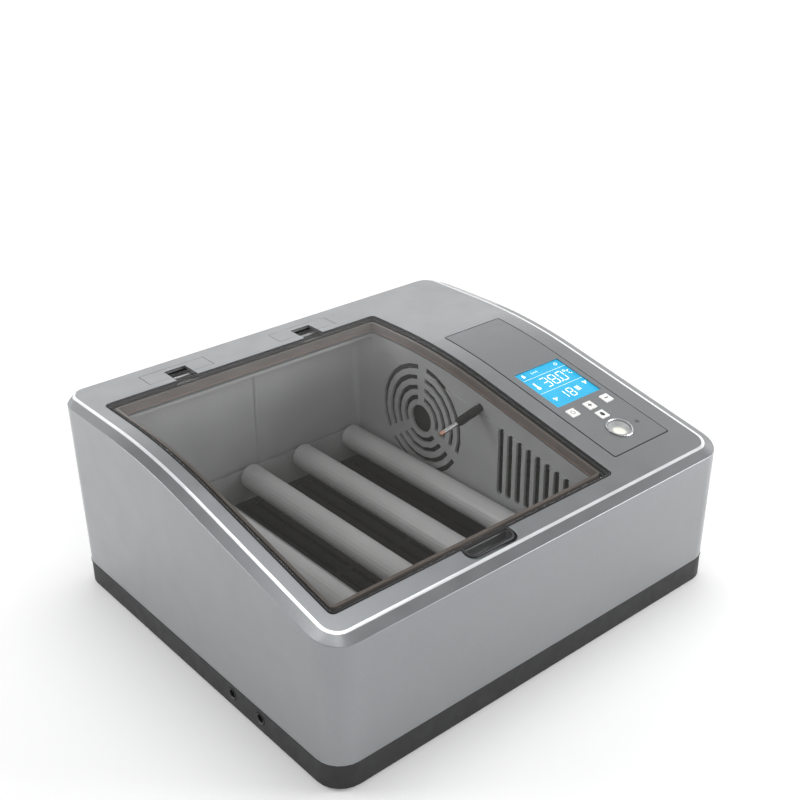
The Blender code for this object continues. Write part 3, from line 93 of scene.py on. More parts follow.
# ---- Materials ----------------------------------------------------------------------------------
class Finish:
    """A Principled material whose colour, roughness and relief come from noise of real sizes."""

    def __init__(self, name, roughness, metallic=0.0):
        self.material = bpy.data.materials.new(name)
        self.material.use_nodes = True
        self.nodes = self.material.node_tree.nodes
        self.links = self.material.node_tree.links
        self.shader = self.nodes["Principled BSDF"]
        self.shader.inputs["Roughness"].default_value = roughness
        self.shader.inputs["Metallic"].default_value = metallic
        self.place = self.nodes.new("ShaderNodeTexCoord").outputs["Object"]
        self.relief = None

    def set(self, **values):
        """Constant values on the shader's own sockets, named with underscores for spaces."""
        for name, value in values.items():
            self.shader.inputs[name.replace("_", " ")].default_value = value
        return self

    def stretched(self, scale):
        """Object coordinates multiplied by a scale for each axis."""
        mapping = self.nodes.new("ShaderNodeMapping")
        mapping.inputs["Scale"].default_value = scale
        self.links.new(self.place, mapping.inputs["Vector"])
        return mapping.outputs["Vector"]

    def noise(self, size, detail=2.0, stretch=None):
        """Noise with features of the given size in metres."""
        texture = self.nodes.new("ShaderNodeTexNoise")
        texture.inputs["Scale"].default_value = 1 / size
        texture.inputs["Detail"].default_value = detail
        self.links.new(self.stretched(stretch) if stretch else self.place, texture.inputs["Vector"])
        return texture.outputs["Fac"]

    def grains(self, size):
        """Cells with a random value each, of the given size in metres."""
        texture = self.nodes.new("ShaderNodeTexVoronoi")
        texture.inputs["Scale"].default_value = 1 / size
        self.links.new(self.place, texture.inputs["Vector"])
        return texture.outputs["Distance"]

    def remap(self, value, low, high, narrow=0.3):
        """A value from low to high as the noise goes through the middle of its range."""
        node = self.nodes.new("ShaderNodeMapRange")
        node.inputs["From Min"].default_value = narrow
        node.inputs["From Max"].default_value = 1 - narrow
        node.inputs["To Min"].default_value = low
        node.inputs["To Max"].default_value = high
        self.links.new(value, node.inputs["Value"])
        return node.outputs["Result"]

    def mix(self, factor, first, second):
        """Colour between two, each a colour or the output of another node."""
        node = self.nodes.new("ShaderNodeMix")
        node.data_type = "RGBA"
        self.links.new(factor, node.inputs["Factor"])
        for socket, colour in ((node.inputs[6], first), (node.inputs[7], second)):
            if isinstance(colour, tuple):
                socket.default_value = (*colour, 1)
            else:
                self.links.new(colour, socket)
        return node.outputs[2]

    def colour(self, factor, first, second):
        """Base colour that goes between two colours."""
        self.links.new(self.mix(factor, first, second), self.shader.inputs["Base Color"])

    def emission(self, factor, first, second):
        """Emitted colour that goes between two colours."""
        self.links.new(self.mix(factor, first, second), self.shader.inputs["Emission Color"])

    def roughness(self, value, low, high):
        """Roughness that follows a noise from low to high."""
        self.links.new(self.remap(value, low, high), self.shader.inputs["Roughness"])

    def by_distance(self, centre, near, far, near_value, far_value, interpolation="LINEAR"):
        """A value that goes from one to another with the distance from a point."""
        distance = self.nodes.new("ShaderNodeVectorMath")
        distance.operation = "DISTANCE"
        distance.inputs[1].default_value = centre
        self.links.new(self.place, distance.inputs[0])
        node = self.nodes.new("ShaderNodeMapRange")
        node.interpolation_type = interpolation
        node.inputs["From Min"].default_value = near
        node.inputs["From Max"].default_value = far
        node.inputs["To Min"].default_value = near_value
        node.inputs["To Max"].default_value = far_value
        self.links.new(distance.outputs["Value"], node.inputs["Value"])
        return node.outputs["Result"]

    def bump(self, height, depth):
        """Relief of the given depth in metres, added to any relief before it."""
        node = self.nodes.new("ShaderNodeBump")
        node.inputs["Distance"].default_value = depth
        node.inputs["Strength"].default_value = 1
        self.links.new(height, node.inputs["Height"])
        if self.relief is not None:
            self.links.new(self.relief, node.inputs["Normal"])
        self.relief = node.outputs["Normal"]
        self.links.new(self.relief, self.shader.inputs["Normal"])


def silver_paint():
    """Satin metallic paint: fine flakes, faint orange peel and slight handling marks."""
    finish = Finish("silver_paint", 0.34, 0.78)
    flakes = finish.noise(0.35 * MM, 3)
    patches = finish.noise(45 * MM, 3)
    fine = finish.mix(finish.remap(flakes, 0, 1), (0.225, 0.234, 0.242), (0.280, 0.290, 0.298))
    finish.colour(finish.remap(patches, 0, 0.25), fine, (0.270, 0.281, 0.290))
    finish.roughness(finish.noise(18 * MM, 4), 0.29, 0.37)
    finish.bump(finish.noise(2.2 * MM, 1), 0.010 * MM)
    finish.bump(flakes, 0.004 * MM)
    return finish.set(Coat_Weight=0.5, Coat_Roughness=0.07).material


def painted_highlight_crest():
    """Rounded crest of the housing, coloured much lighter than the paint as a painted highlight along the
    crest.
    """
    finish = Finish("painted_highlight_crest", 0.22, 0.35)
    # Light grey colours: the painted highlight that stands for the crest catching the light
    finish.colour(finish.remap(finish.noise(15 * MM, 2), 0, 1), (0.74, 0.76, 0.77), (0.84, 0.86, 0.87))
    finish.bump(finish.noise(0.4 * MM, 2), 0.001 * MM)
    return finish.set(Coat_Weight=0.8, Coat_Roughness=0.06).material


def panel_paint():
    """Smooth grey film of the control panel, with a faint grain."""
    finish = Finish("panel_film", 0.38, 0.7)
    grain = finish.noise(0.25 * MM, 2)
    finish.colour(finish.remap(grain, 0, 1), (0.215, 0.223, 0.231), (0.255, 0.264, 0.272))
    finish.roughness(finish.noise(12 * MM, 3), 0.34, 0.42)
    finish.bump(grain, 0.004 * MM)
    return finish.material


def moulded_plastic(name, dark, light, roughness):
    """Moulded plastic with an even spark-eroded grain and slightly uneven gloss."""
    finish = Finish(name, roughness)
    finish.colour(finish.remap(finish.noise(25 * MM, 3), 0, 1), dark, light)
    finish.roughness(finish.noise(9 * MM, 3), roughness - 0.06, roughness + 0.06)
    finish.bump(finish.noise(0.7 * MM, 4), 0.004 * MM)
    return finish.material


def smoke_polycarbonate():
    """Smoke-tinted clear sheet, with faint rub marks that only show in the gloss."""
    finish = Finish("smoke_sheet", 0.05)
    haze = finish.noise(60 * MM, 2)
    finish.colour(finish.remap(haze, 0, 1), (0.050, 0.048, 0.046), (0.060, 0.058, 0.055))
    finish.roughness(finish.noise(35 * MM, 2), 0.04, 0.06)
    return finish.set(Alpha=0.20, IOR=1.50).material


def rubber():
    """Matt black rubber with a fine rough grain."""
    finish = Finish("rubber", 0.75)
    finish.colour(finish.remap(finish.noise(8 * MM, 3), 0, 1), (0.012, 0.012, 0.013), (0.028, 0.028, 0.029))
    finish.bump(finish.noise(0.4 * MM, 4), 0.03 * MM)
    return finish.material


def steel():
    """Drawn steel with fine lines along X."""
    finish = Finish("steel", 0.25, 1.0)
    lines = finish.noise(1.2 * MM, 5, stretch=(1, 30, 30))
    finish.colour(finish.remap(lines, 0, 1), (0.5084, 0.5084, 0.5208), (0.62, 0.62, 0.6324))
    finish.roughness(lines, 0.2, 0.34)
    finish.bump(lines, 0.006 * MM)
    return finish.material


def circuit_board():
    """Green solder mask with lighter tracks and tinned dots."""
    finish = Finish("circuit_board", 0.4)
    tracks = finish.remap(finish.grains(2.4 * MM), 0, 1, narrow=0.35)
    finish.colour(tracks, (0.010, 0.085, 0.035), (0.030, 0.19, 0.085))
    finish.bump(tracks, 0.04 * MM)
    return finish.set(Coat_Weight=0.3, Coat_Roughness=0.2).material


def wound_iron():
    """Laminated core: thin stacked sheets under varnish."""
    finish = Finish("wound_iron", 0.55, 0.6)
    sheets = finish.noise(1.5 * MM, 1, stretch=(0.1, 0.1, 1))
    finish.colour(finish.remap(sheets, 0, 1), (0.05, 0.045, 0.04), (0.20, 0.16, 0.12))
    finish.bump(sheets, 0.1 * MM)
    return finish.material


def heating_steel():
    """Sheath of a heating tube, blued by heat."""
    finish = Finish("heating_steel", 0.42, 1.0)
    finish.colour(finish.remap(finish.noise(14 * MM, 4), 0, 1), (0.13, 0.11, 0.12), (0.30, 0.24, 0.19))
    finish.bump(finish.noise(0.6 * MM, 3), 0.02 * MM)
    return finish.material


def frosted_lens():
    """Frosted cup, warm and bright over the light source and grey towards its rim."""
    finish = Finish("frosted_lens", 0.3)
    low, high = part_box("candler_lens")
    middle = (low + high) / 2 + GLOW_OFFSET
    glow = finish.by_distance(middle, 3.5 * MM, 6.5 * MM, 1, 0, "SMOOTHSTEP")
    finish.emission(glow, (0.02, 0.02, 0.02), (0.62, 0.60, 0.50))
    frost = finish.noise(0.8 * MM, 4)
    finish.colour(finish.remap(frost, 0, 1), (0.27, 0.28, 0.28), (0.34, 0.35, 0.35))
    finish.bump(frost, 0.02 * MM)
    return finish.set(Emission_Strength=1.0).material


def copper():
    """Bare copper cap, slightly dulled."""
    finish = Finish("copper", 0.35, 1.0)
    finish.colour(finish.remap(finish.noise(1.5 * MM, 3), 0, 1), (0.55, 0.30, 0.20), (0.68, 0.40, 0.28))
    finish.bump(finish.noise(0.4 * MM, 2), 0.005 * MM)
    return finish.material


def painted_glow_edge():
    """Cut edge of the tinted sheet, coloured as a warm line of painted light where the edge gathers light."""
    finish = Finish("painted_glow_edge", 0.3)
    finish.colour(finish.remap(finish.noise(20 * MM, 2), 0, 1), (0.34, 0.20, 0.15), (0.42, 0.26, 0.20))
    return finish.material


def skirt_sheet():
    """Tinted frame under the lid's sheet, seen through more of its depth, so browner and denser."""
    finish = Finish("skirt_sheet", 0.12)
    finish.colour(finish.remap(finish.noise(40 * MM, 2), 0, 1), (0.185, 0.155, 0.138), (0.235, 0.200, 0.180))
    return finish.material


def display_glass():
    """Clear cover of the display, almost invisible but for its gloss."""
    finish = Finish("display_glass", 0.05)
    smears = finish.noise(9 * MM, 4)
    finish.colour(finish.remap(smears, 0, 1), (0.02, 0.10, 0.14), (0.03, 0.13, 0.18))
    finish.roughness(smears, 0.03, 0.09)
    return finish.set(Alpha=0.10, IOR=1.5).material


def backlight():
    """Backlit liquid crystal layer: cyan blue, slightly uneven."""
    finish = Finish("backlight", 0.5)
    glow = finish.remap(finish.noise(22 * MM, 2), 0, 1)
    finish.emission(glow, (0.020, 0.53, 0.92), (0.028, 0.60, 1.0))
    finish.colour(glow, (0.01, 0.06, 0.10), (0.02, 0.08, 0.12))
    return finish.set(Emission_Strength=1.0).material


def lit_segments():
    """White segments of the display."""
    finish = Finish("lit_segments", 0.4)
    glow = finish.remap(finish.noise(0.5 * MM, 2), 0, 1)
    finish.emission(glow, (0.86, 0.95, 1.0), (1.0, 1.0, 1.0))
    finish.colour(glow, (0.6, 0.6, 0.6), (0.7, 0.7, 0.7))
    return finish.set(Emission_Strength=0.9).material


def dark_print():
    """Dark ink of the small marks."""
    finish = Finish("dark_print", 0.5)
    finish.colour(finish.remap(finish.noise(0.3 * MM, 3), 0, 1), (0.02, 0.02, 0.022), (0.05, 0.05, 0.053))
    finish.bump(finish.noise(0.2 * MM, 2), 0.01 * MM)
    return finish.material


def led_body():
    """Clear milky body of the lamp's light source."""
    finish = Finish("led_body", 0.2)
    finish.colour(finish.remap(finish.noise(2 * MM, 2), 0, 1), (0.75, 0.72, 0.62), (0.85, 0.83, 0.75))
    return finish.set(Emission_Color=(1.0, 0.9, 0.7, 1), Emission_Strength=1.2).material


def floor_paint():
    """Plain pale studio floor, lit from below like a light table and brighter away from the object."""
    finish = Finish("studio_floor", 0.7)
    finish.colour(finish.remap(finish.noise(0.5, 3), 0, 1), (0.86, 0.86, 0.86), (0.88, 0.88, 0.88))
    glow = finish.by_distance((0, 0, 0), 0.6, 2.2, 0.10, 0.75)
    finish.links.new(glow, finish.shader.inputs["Emission Strength"])
    return finish.set(Emission_Color=(1, 1, 1, 1)).material


def make_slot_finishes():
    """The finish of each of the record's material slots."""
    return {
        "silver_plastic": silver_paint(),
        "panel_plastic": panel_paint(),
        "charcoal_plastic": moulded_plastic("charcoal", (0.006, 0.006, 0.0065), (0.010, 0.010, 0.0105), 0.55),
        "liner_plastic": moulded_plastic("liner_grey", (0.50, 0.51, 0.51), (0.55, 0.56, 0.56), 0.4),
        "black_plastic": moulded_plastic("black_moulding", (0.014, 0.014, 0.015), (0.024, 0.024, 0.025), 0.4),
        "roller_plastic": moulded_plastic("roller_tube", (0.80, 0.80, 0.80), (0.86, 0.86, 0.86), 0.35),
        "white_plastic": moulded_plastic("white_moulding", (0.74, 0.74, 0.73), (0.82, 0.82, 0.81), 0.35),
        "smoke_polycarbonate": smoke_polycarbonate(),
        "rubber": rubber(),
        "steel": steel(),
        "display_glass": display_glass(),
        "frosted_lens": frosted_lens(),
        "circuit_board": circuit_board(),
        "transformer_iron": wound_iron(),
    }


# ---- Pieces -------------------------------------------------------------------------------------
def assign(item, material):
    """One finish for a whole object."""
    item.data.materials.clear()
    item.data.materials.append(material)


def new_piece(name, mesh, body, material):
    """A new object on a CAD body, with its finish."""
    item = bpy.data.objects.new(name, mesh)
    bpy.context.scene.collection.objects.link(item)
    assign(item, material)
    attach(item, body)
    return item


def in_roof(face):
    """True for a face of the flat or sloping roof."""
    x, y, z = face.normal
    steepest = math.sin(SLOPE) + NORMAL_TOLERANCE
    return abs(x) < NORMAL_TOLERANCE and -steepest <= y <= NORMAL_TOLERANCE and z > FACING


def in_rim(face):
    """True for a face of the sloping band outside the roof's crest."""
    return not in_roof(face) and face.normal.z > FACING


def mark_edges(work, keep_crest):
    """Bevel weights: one layer for the roof's crest, if it's kept apart, and one for sharp edges."""
    crest_weights = work.edges.layers.float.new(CREST_LAYER)
    sharp_weights = work.edges.layers.float.new(SHARP_LAYER)
    for edge in work.edges:
        if len(edge.link_faces) != 2:
            continue
        turn = edge.calc_face_angle(0)
        crest = any(map(in_roof, edge.link_faces)) and any(map(in_rim, edge.link_faces))
        if keep_crest and crest and turn > CREST_ANGLE:
            edge[crest_weights] = 1
        elif turn > SHARP_ANGLE:
            edge[sharp_weights] = 1


def add_bevel(item, layer, width, material_index=-1):
    """Rounding along the edges marked in a weight layer."""
    rounding = item.modifiers.new(layer, "BEVEL")
    rounding.width = width
    rounding.segments = BEVEL_SEGMENTS
    rounding.limit_method = "WEIGHT"
    rounding.edge_weight = layer
    rounding.material = material_index
    rounding.use_clamp_overlap = False
    rounding.miter_outer = "MITER_ARC"


def rounded_copy(node, width, material):
    """A copy of a CAD node with rounded edges, which stands for the node."""
    keep_crest = node in CREST_WIDTHS
    mesh = NODES[node].data.copy()
    work = bmesh.new()
    work.from_mesh(mesh)
    bmesh.ops.remove_doubles(work, verts=work.verts, dist=WELD_DISTANCE)
    if keep_crest:
        bmesh.ops.dissolve_limit(work, angle_limit=FLAT_ANGLE, verts=work.verts, edges=work.edges)
    mark_edges(work, keep_crest)
    work.to_mesh(mesh)
    work.free()
    item = new_piece(f"{node}_shell", mesh, BODY_OF[node], material)
    add_bevel(item, SHARP_LAYER, width)
    if keep_crest:
        # The crest's faces take the painted-highlight material
        mesh.materials.append(painted_highlight_crest())
        add_bevel(item, CREST_LAYER, CREST_WIDTHS[node], len(mesh.materials) - 1)
    mesh.shade_smooth()
    item.modifiers.new("flat faces", "WEIGHTED_NORMAL").weight = 100
    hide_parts(node)


# ---- Camera, lights and floor -------------------------------------------------------------------
CAMERA_PLACE = (-0.5097, -0.6067, 0.5477)
CAMERA_YAW = 0.7045
CAMERA_PITCH = 0.4637
CAMERA_ROLL = -0.0103
LENS = 54.83
SENSOR = 36.0


def make_camera():
    """Camera that looks down on the front left corner."""
    camera = bpy.data.objects.new("camera", bpy.data.cameras.new("camera"))
    bpy.context.scene.collection.objects.link(camera)
    camera.data.lens = LENS
    camera.data.sensor_width = SENSOR
    forward = Vector(
        (
            math.sin(CAMERA_YAW) * math.cos(CAMERA_PITCH),
            math.cos(CAMERA_YAW) * math.cos(CAMERA_PITCH),
            -math.sin(CAMERA_PITCH),
        )
    )
    right = forward.cross(Vector((0, 0, 1))).normalized()
    up = right.cross(forward)
    tilted_right = math.cos(CAMERA_ROLL) * right + math.sin(CAMERA_ROLL) * up
    tilted_up = math.cos(CAMERA_ROLL) * up - math.sin(CAMERA_ROLL) * right
    turn = Matrix((tilted_right, tilted_up, -forward)).transposed()
    camera.matrix_world = Matrix.Translation(CAMERA_PLACE) @ turn.to_4x4()
    bpy.context.scene.camera = camera


def add_softbox(name, place, target, size, power):
    """Rectangular area light at a place, facing a target."""
    light = bpy.data.lights.new(name, "AREA")
    light.shape = "RECTANGLE"
    light.size, light.size_y = size
    light.energy = power
    item = bpy.data.objects.new(name, light)
    bpy.context.scene.collection.objects.link(item)
    aim = (Vector(target) - Vector(place)).to_track_quat("-Z", "Y")
    item.matrix_world = Matrix.Translation(place) @ aim.to_matrix().to_4x4()


def make_world():
    """Pale surroundings, bright near the horizon and darker overhead."""
    world = bpy.data.worlds.new("studio")
    bpy.context.scene.world = world
    world.use_nodes = True
    nodes, links = world.node_tree.nodes, world.node_tree.links
    background = nodes["Background"]
    place = nodes.new("ShaderNodeTexCoord").outputs["Generated"]
    parts = nodes.new("ShaderNodeSeparateXYZ")
    links.new(place, parts.inputs["Vector"])
    ramp = nodes.new("ShaderNodeValToRGB")
    links.new(parts.outputs["Z"], ramp.inputs["Fac"])
    stops = ((0.0, 0.30), (0.28, 0.52), (0.46, 1.0), (0.58, 0.50), (0.68, 0.20), (0.76, 0.13), (1.0, 0.15))
    while len(ramp.color_ramp.elements) < len(stops):
        ramp.color_ramp.elements.new(0.5)
    for element, (position, level) in zip(ramp.color_ramp.elements, stops):
        element.position = position
        element.color = (level, level, level, 1)
    links.new(ramp.outputs["Color"], background.inputs["Color"])
    background.inputs["Strength"].default_value = 1.85


def make_stage():
    """Pale floor, surroundings and soft lights."""
    bpy.ops.mesh.primitive_plane_add(size=12, location=(0, 0, 0))
    floor = bpy.context.object
    floor.name = "studio_floor"
    assign(floor, floor_paint())
    make_world()
    bpy.context.scene.view_settings.view_transform = "Standard"
    add_softbox("key_light", (-1.15, 0.95, 0.95), (-0.18, 0.10, 0.10), (0.7, 0.7), 9)
    add_softbox("fill_light", (1.05, -1.0, 0.65), (0.16, -0.16, 0.10), (0.7, 0.7), 12)
    add_softbox("top_light", (0.25, 0.2, 1.6), (0, 0, 0.05), (0.9, 0.9), 8)


# ---- Control panel graphics ---------------------------------------------------------------------
def panel_matrix(node, lift):
    """Frame on a slope-aligned piece: origin over its middle at a height, X right, Y up the slope."""
    low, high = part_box(node)
    tilt = Matrix.Rotation(SLOPE, 4, "X")
    return Matrix.Translation((low + high) / 2) @ tilt @ Matrix.Translation((0, 0, lift))


def flat_mesh(name, outlines, thickness):
    """Thin plates from closed outlines in a plane, each a list of (x, y) points."""
    points, faces = [], []
    for outline in outlines:
        pairs = zip(outline, outline[1:] + outline[:1])
        anticlockwise = sum(x0 * y1 - x1 * y0 for (x0, y0), (x1, y1) in pairs) > 0
        corners = outline if anticlockwise else outline[::-1]
        count = len(corners)
        low = range(len(points), len(points) + count)
        high = range(low.stop, low.stop + count)
        points += [(x, y, 0) for x, y in corners]
        points += [(x, y, thickness) for x, y in corners]
        faces.append(low[::-1])
        faces.append(high)
        for index in range(count):
            after = (index + 1) % count
            faces.append((low[index], low[after], high[after], high[index]))
    mesh = bpy.data.meshes.new(name)
    mesh.from_pydata(points, [], faces)
    return mesh


def disc(x, y, radius, sides=20):
    """Outline of a disc."""
    angles = [2 * math.pi * index / sides for index in range(sides)]
    return [(x + radius * math.cos(angle), y + radius * math.sin(angle)) for angle in angles]


def bar(x0, y0, x1, y1, width):
    """Rectangle along a line, width across."""
    along = Vector((x1 - x0, y1 - y0)).normalized() * (width / 2)
    across = Vector((-along.y, along.x))
    return [
        (x0 - across.x, y0 - across.y),
        (x1 - across.x, y1 - across.y),
        (x1 + across.x, y1 + across.y),
        (x0 + across.x, y0 + across.y),
    ]


def ring(x, y, radius, width, sides=24):
    """Ring as a row of short bars."""
    pieces = []
    for index in range(sides):
        start, end = 2 * math.pi * index / sides, 2 * math.pi * (index + 1.02) / sides
        pieces.append(
            bar(
                x + radius * math.cos(start),
                y + radius * math.sin(start),
                x + radius * math.cos(end),
                y + radius * math.sin(end),
                width,
            )
        )
    return pieces


SEGMENTS_OF = {"0": "abcdef", "1": "bc", "3": "abgcd", "8": "abcdefg", "C": "adef"}


def seven_segment(character, x, y, width, height, stroke):
    """Lit segments of one character, centred on a point, with small gaps between them."""
    left, right = x - width / 2, x + width / 2
    bottom, top = y - height / 2, y + height / 2
    gap = stroke * 0.65
    lines = {
        "a": (left + gap, top, right - gap, top),
        "b": (right, top - gap, right, y + gap),
        "c": (right, y - gap, right, bottom + gap),
        "d": (left + gap, bottom, right - gap, bottom),
        "e": (left, y - gap, left, bottom + gap),
        "f": (left, top - gap, left, y + gap),
        "g": (left + gap, y, right - gap, y),
    }
    return [bar(*lines[name], stroke) for name in SEGMENTS_OF[character]]


def display_outlines(width, height):
    """Every lit mark on the display, centred on its middle: three rows with two lines between."""
    def across(share):
        return (share - 0.5) * width

    def down(share):
        return (0.5 - share) * height

    stroke, line = 0.8 * MM, 0.25 * MM
    icon_row, temperature_row, day_row = down(0.10), down(0.40), down(0.80)
    marks = [bar(across(0.02), down(share), across(0.98), down(share), line) for share in (0.205, 0.60)]
    for character, share in (("3", 0.34), ("8", 0.52), ("0", 0.71)):
        marks += seven_segment(character, across(share), temperature_row, 5.6 * MM, 11.0 * MM, stroke)
    marks.append(disc(across(0.615), temperature_row - 5.4 * MM, 0.65 * MM))
    marks += ring(across(0.845), down(0.31), 1.1 * MM, 0.5 * MM, 14)
    marks += seven_segment("C", across(0.92), down(0.37), 2.6 * MM, 4.6 * MM, 0.7 * MM)
    for character, share in (("1", 0.34), ("8", 0.52)):
        marks += seven_segment(character, across(share), day_row, 4.8 * MM, 9.4 * MM, stroke)
    marks += thermometer(across(0.115), temperature_row)
    marks += water_drop(across(0.11), icon_row)
    marks += fan_mark(across(0.14), down(0.81))
    marks += lines_mark(across(0.69), down(0.78))
    marks += fan_mark(across(0.91), down(0.72))
    marks += brackets(across(0.36), icon_row)
    marks += ring(across(0.86), icon_row, 1.4 * MM, 0.45 * MM, 14)
    return marks


def thermometer(x, y):
    """Thermometer: a bulb under a stem."""
    return [disc(x, y - 3.2 * MM, 1.6 * MM), bar(x, y - 2.2 * MM, x, y + 3.8 * MM, 1.5 * MM)]


def water_drop(x, y):
    """Drop: a round bottom drawn up to a point."""
    outline = []
    for point_x, point_y in disc(x, y - 0.5 * MM, 1.5 * MM, 16):
        upper = point_y >= y
        width_share = 0.5 if upper else 0.98
        lift = 1.2 * MM if upper else 0
        outline.append((x + (point_x - x) * width_share, point_y + lift))
    return [outline]


def fan_mark(x, y):
    """Three round blades about a middle dot."""
    blades, reach, turn = 3, 1.35 * MM, 0.3
    marks = [disc(x, y, 0.5 * MM, 10)]
    for index in range(blades):
        angle = 2 * math.pi * index / blades + turn
        marks.append(disc(x + reach * math.cos(angle), y + reach * math.sin(angle), 0.85 * MM, 12))
    return marks


def lines_mark(x, y):
    """Small block of short lines, a tray seen from the side."""
    rows, pitch, reach = 4, 1.35 * MM, 2.1 * MM
    heights = [y + (row - (rows - 1) / 2) * pitch for row in range(rows)]
    return [bar(x - reach, height, x + reach, height, 0.7 * MM) for height in heights]


def brackets(x, y):
    """Pair of brackets about two dots."""
    marks = []
    for side in (-1, 1):
        edge = x + side * 2.8 * MM
        marks.append(bar(edge, y - 1.3 * MM, edge, y + 1.3 * MM, 0.4 * MM))
        marks.append(disc(x + side * 0.9 * MM, y, 0.5 * MM, 10))
    return marks


def make_display(finishes):
    """Backlit layer with its lit marks, under the clear window."""
    assign(NODES["lcd_module"], backlight())
    low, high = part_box("lcd_window")
    width = high.x - low.x
    length = (high.y - low.y - LCD_GLASS_THICKNESS * math.sin(SLOPE)) / math.cos(SLOPE)
    mesh = flat_mesh("lcd_marks", display_outlines(width, length), 0.02 * MM)
    mesh.transform(panel_matrix("lcd_window", LCD_GLASS_THICKNESS / 2 + 0.01 * MM))
    new_piece("lcd_marks", mesh, "case", lit_segments())
    assign(NODES["lcd_window"], finishes["display_glass"])


def egg_outline(x, y, length):
    """Outline of an egg, its blunt end towards -Y."""
    points = []
    sides = 24
    half_width, half_length, taper = 0.37 * length, 0.5 * length, 0.16
    for index in range(sides):
        angle = 2 * math.pi * index / sides
        narrowing = 1 - taper * math.sin(angle)
        points.append((x + half_width * narrowing * math.cos(angle), y + half_length * math.sin(angle)))
    return points


def plus_mark(reach, stroke):
    """Plus sign centred on the origin."""
    return [bar(-reach, 0, reach, 0, stroke), bar(0, -reach, 0, reach, stroke)]


BUTTON_MARKS = {
    "button_set": ring(0, 0, 1.7 * MM, 0.35 * MM),
    "button_up": plus_mark(1.8 * MM, 0.9 * MM),
    "button_down": [bar(-1.8 * MM, 0, 1.8 * MM, 0, 1.0 * MM)],
    "button_light": [egg_outline(0, 0, 4.6 * MM)],
}


def button_top(node):
    """Frame on the top of a button, at the middle of its points that stand furthest off the slope."""
    normal = Vector((0, -math.sin(SLOPE), math.cos(SLOPE)))
    points = [vertex.co for vertex in NODES[node].data.vertices]
    highest = max(point.dot(normal) for point in points)
    top = [point for point in points if highest - point.dot(normal) < 0.01 * MM]
    middle = sum(top, Vector()) / len(top)
    return Matrix.Translation(middle) @ Matrix.Rotation(SLOPE, 4, "X")


def make_button_marks(ink):
    """One dark mark on each push button, which moves with it."""
    for node, outlines in BUTTON_MARKS.items():
        mesh = flat_mesh(f"{node}_mark", outlines, 0.05 * MM)
        mesh.transform(button_top(node))
        new_piece(f"{node}_mark", mesh, BODY_OF[node], ink)


# ---- Seams, edges and small details -------------------------------------------------------------
def roof(y):
    """Height of the sloping part of the roof."""
    return ROOF_POINT.z + (y - ROOF_POINT.y) * math.tan(SLOPE)


def tube(name, points, radius, body, material, cyclic=False):
    """Round strand through a row of points."""
    curve = bpy.data.curves.new(name, "CURVE")
    curve.dimensions = "3D"
    curve.bevel_depth = radius
    curve.bevel_resolution = 3
    curve.use_fill_caps = not cyclic
    spline = curve.splines.new("POLY")
    spline.points.add(len(points) - 1)
    for corner, point in zip(spline.points, points):
        corner.co = (*point, 1)
    spline.use_cyclic_u = cyclic
    new_piece(name, curve, body, material)


def border_loop(node, upwards, outer):
    """Points in order round the outer or inner outline of the faces that look up or down."""
    work = bmesh.new()
    work.from_mesh(NODES[node].data)
    bmesh.ops.remove_doubles(work, verts=work.verts, dist=WELD_DISTANCE)
    sense = 1 if upwards else -1
    wanted = {face for face in work.faces if face.normal.z * sense > FACING}
    border = [edge for edge in work.edges if len(wanted.intersection(edge.link_faces)) == 1]
    beside = {}
    for edge in border:
        first, second = edge.verts
        beside.setdefault(first, []).append(second)
        beside.setdefault(second, []).append(first)
    middle = sum((vertex.co for vertex in beside), Vector()) / len(beside)
    pick = max if outer else min
    start = pick(beside, key=lambda vertex: (vertex.co - middle).length)
    loop, previous, here = [], None, start
    while here is not start or previous is None:
        loop.append(here.co.copy())
        onward = [vertex for vertex in beside[here] if vertex is not previous]
        previous, here = here, onward[0]
    work.free()
    return loop


def trim(name, node, body, radius, drop, material, upwards=True, outer=True):
    """Thin strand that follows an outline of a node, set a little below or above it."""
    points = [point - Vector((0, 0, drop)) for point in border_loop(node, upwards, outer)]
    tube(name, points, radius, body, material, cyclic=True)


def make_trims(finishes):
    """Black seals round the lid, control panel and foot of the housing, and the skirt's edge with its painted
    warm glow.
    """
    # warm is the painted-light finish for the skirt's edge
    black, warm = finishes["rubber"], painted_glow_edge()
    trim("lid_trim", "viewing_lid", "lid", 0.65 * MM, 0.35 * MM, black)
    trim("panel_trim", "control_panel", "case", 0.48 * MM, 0.05 * MM, black)
    trim("foot_trim", "outer_housing", "case", 0.40 * MM, 0.0, black, upwards=False)
    trim("skirt_edge", "lid_skirt", "lid", 0.35 * MM, -0.3 * MM, warm, upwards=False, outer=False)


def make_tab_edge(finishes):
    """Dark rounded edge along the front of the finger tab."""
    left, right, front, root = -61 * MM, -21.5 * MM, -147.3 * MM, -138.5 * MM
    corner, thickness, drop, steps = 5 * MM, 0.95 * MM, 0.5 * MM, 6
    plan = [(left, root)]
    for centre_x, start in ((left + corner, math.pi), (right - corner, 1.5 * math.pi)):
        for index in range(steps + 1):
            angle = start + math.pi / 2 * index / steps
            plan.append((centre_x + corner * math.cos(angle), front + corner + corner * math.sin(angle)))
    plan.append((right, root))
    points = [(x, y, roof(y) - drop) for x, y in plan]
    tube("tab_edge", points, thickness, "lid", finishes["black_plastic"])


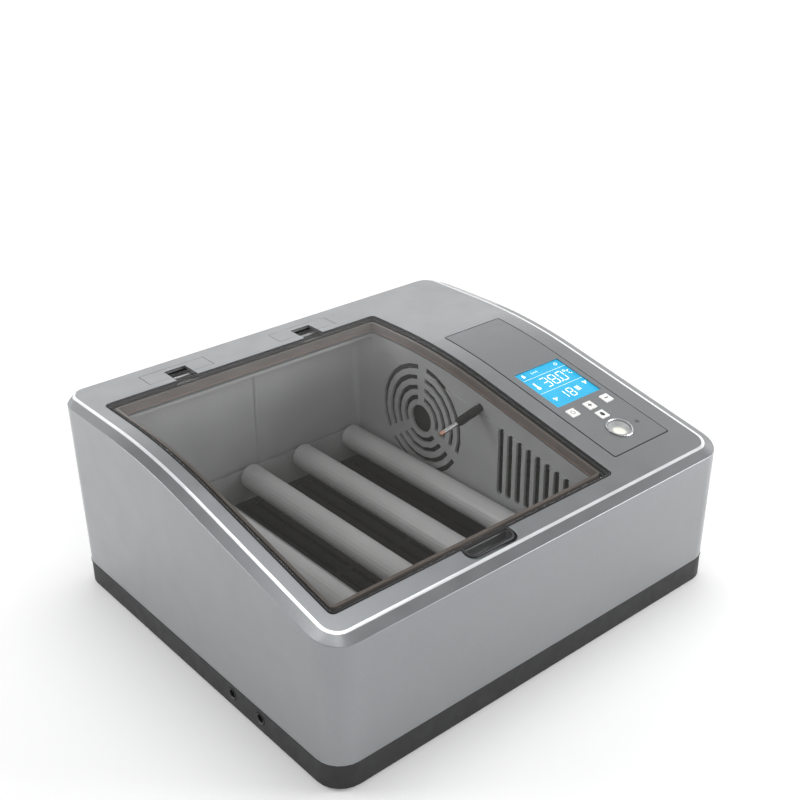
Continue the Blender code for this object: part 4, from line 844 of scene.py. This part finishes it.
def make_probe_tip():
    """Copper cap on the end of the temperature probe, which droops towards its tip."""
    low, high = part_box("probe_tube")
    droop, length, radius = math.radians(12), 4 * MM, 2.1 * MM
    along = Vector((-math.cos(droop), 0, -math.sin(droop)))
    end = Vector((low.x + 0.4 * MM, (low.y + high.y) / 2, low.z + 1.9 * MM))
    tube("probe_tip", [end - along * length, end], radius, "case", copper())


def make_wall_bead():
    """Bead that runs up the chamber's rear wall, coloured paler than the liner as a painted highlight."""
    _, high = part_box("inner_liner")
    y = high.y - 3.1 * MM
    points = [(BEAD_X, y, 56 * MM), (BEAD_X, y, 137 * MM)]
    # Pale colour: a painted highlight along the bead
    material = moulded_plastic("bead_painted_highlight", (0.74, 0.70, 0.69), (0.80, 0.76, 0.75), 0.3)
    tube("wall_bead", points, 0.55 * MM, "case", material)


def make_lamp_mark(ink):
    """Small star beside the candling lamp."""
    x, y = 148 * MM, -106.3 * MM
    rays, inner, outer = 8, 1.1 * MM, 2.1 * MM
    marks = [disc(0, 0, 0.9 * MM, 12)]
    for index in range(rays):
        angle = 2 * math.pi * index / rays
        across, along = math.cos(angle), math.sin(angle)
        marks.append(bar(inner * across, inner * along, outer * across, outer * along, 0.4 * MM))
    mesh = flat_mesh("lamp_mark", marks, 0.04 * MM)
    mesh.transform(Matrix.Translation((x, y, roof(y) + 0.02 * MM)) @ Matrix.Rotation(SLOPE, 4, "X"))
    new_piece("lamp_mark", mesh, "case", ink)


# ---- Build --------------------------------------------------------------------------------------
def main():
    """Stage, finishes on every CAD node, rounded copies, and the small pieces."""
    make_camera()
    make_stage()
    finishes = make_slot_finishes()
    for node, item in NODES.items():
        assign(item, finishes[SLOT_OF[node]])
    for node, width in EDGE_WIDTHS.items():
        rounded_copy(node, width, finishes[SLOT_OF[node]])
    assign(NODES["heater_ring"], heating_steel())
    assign(NODES["candler_led"], led_body())
    make_display(finishes)
    ink = dark_print()
    make_button_marks(ink)
    make_lamp_mark(ink)
    make_trims(finishes)
    make_tab_edge(finishes)
    make_probe_tip()
    make_wall_bead()
    assign(NODES["lid_skirt"], skirt_sheet())


main()
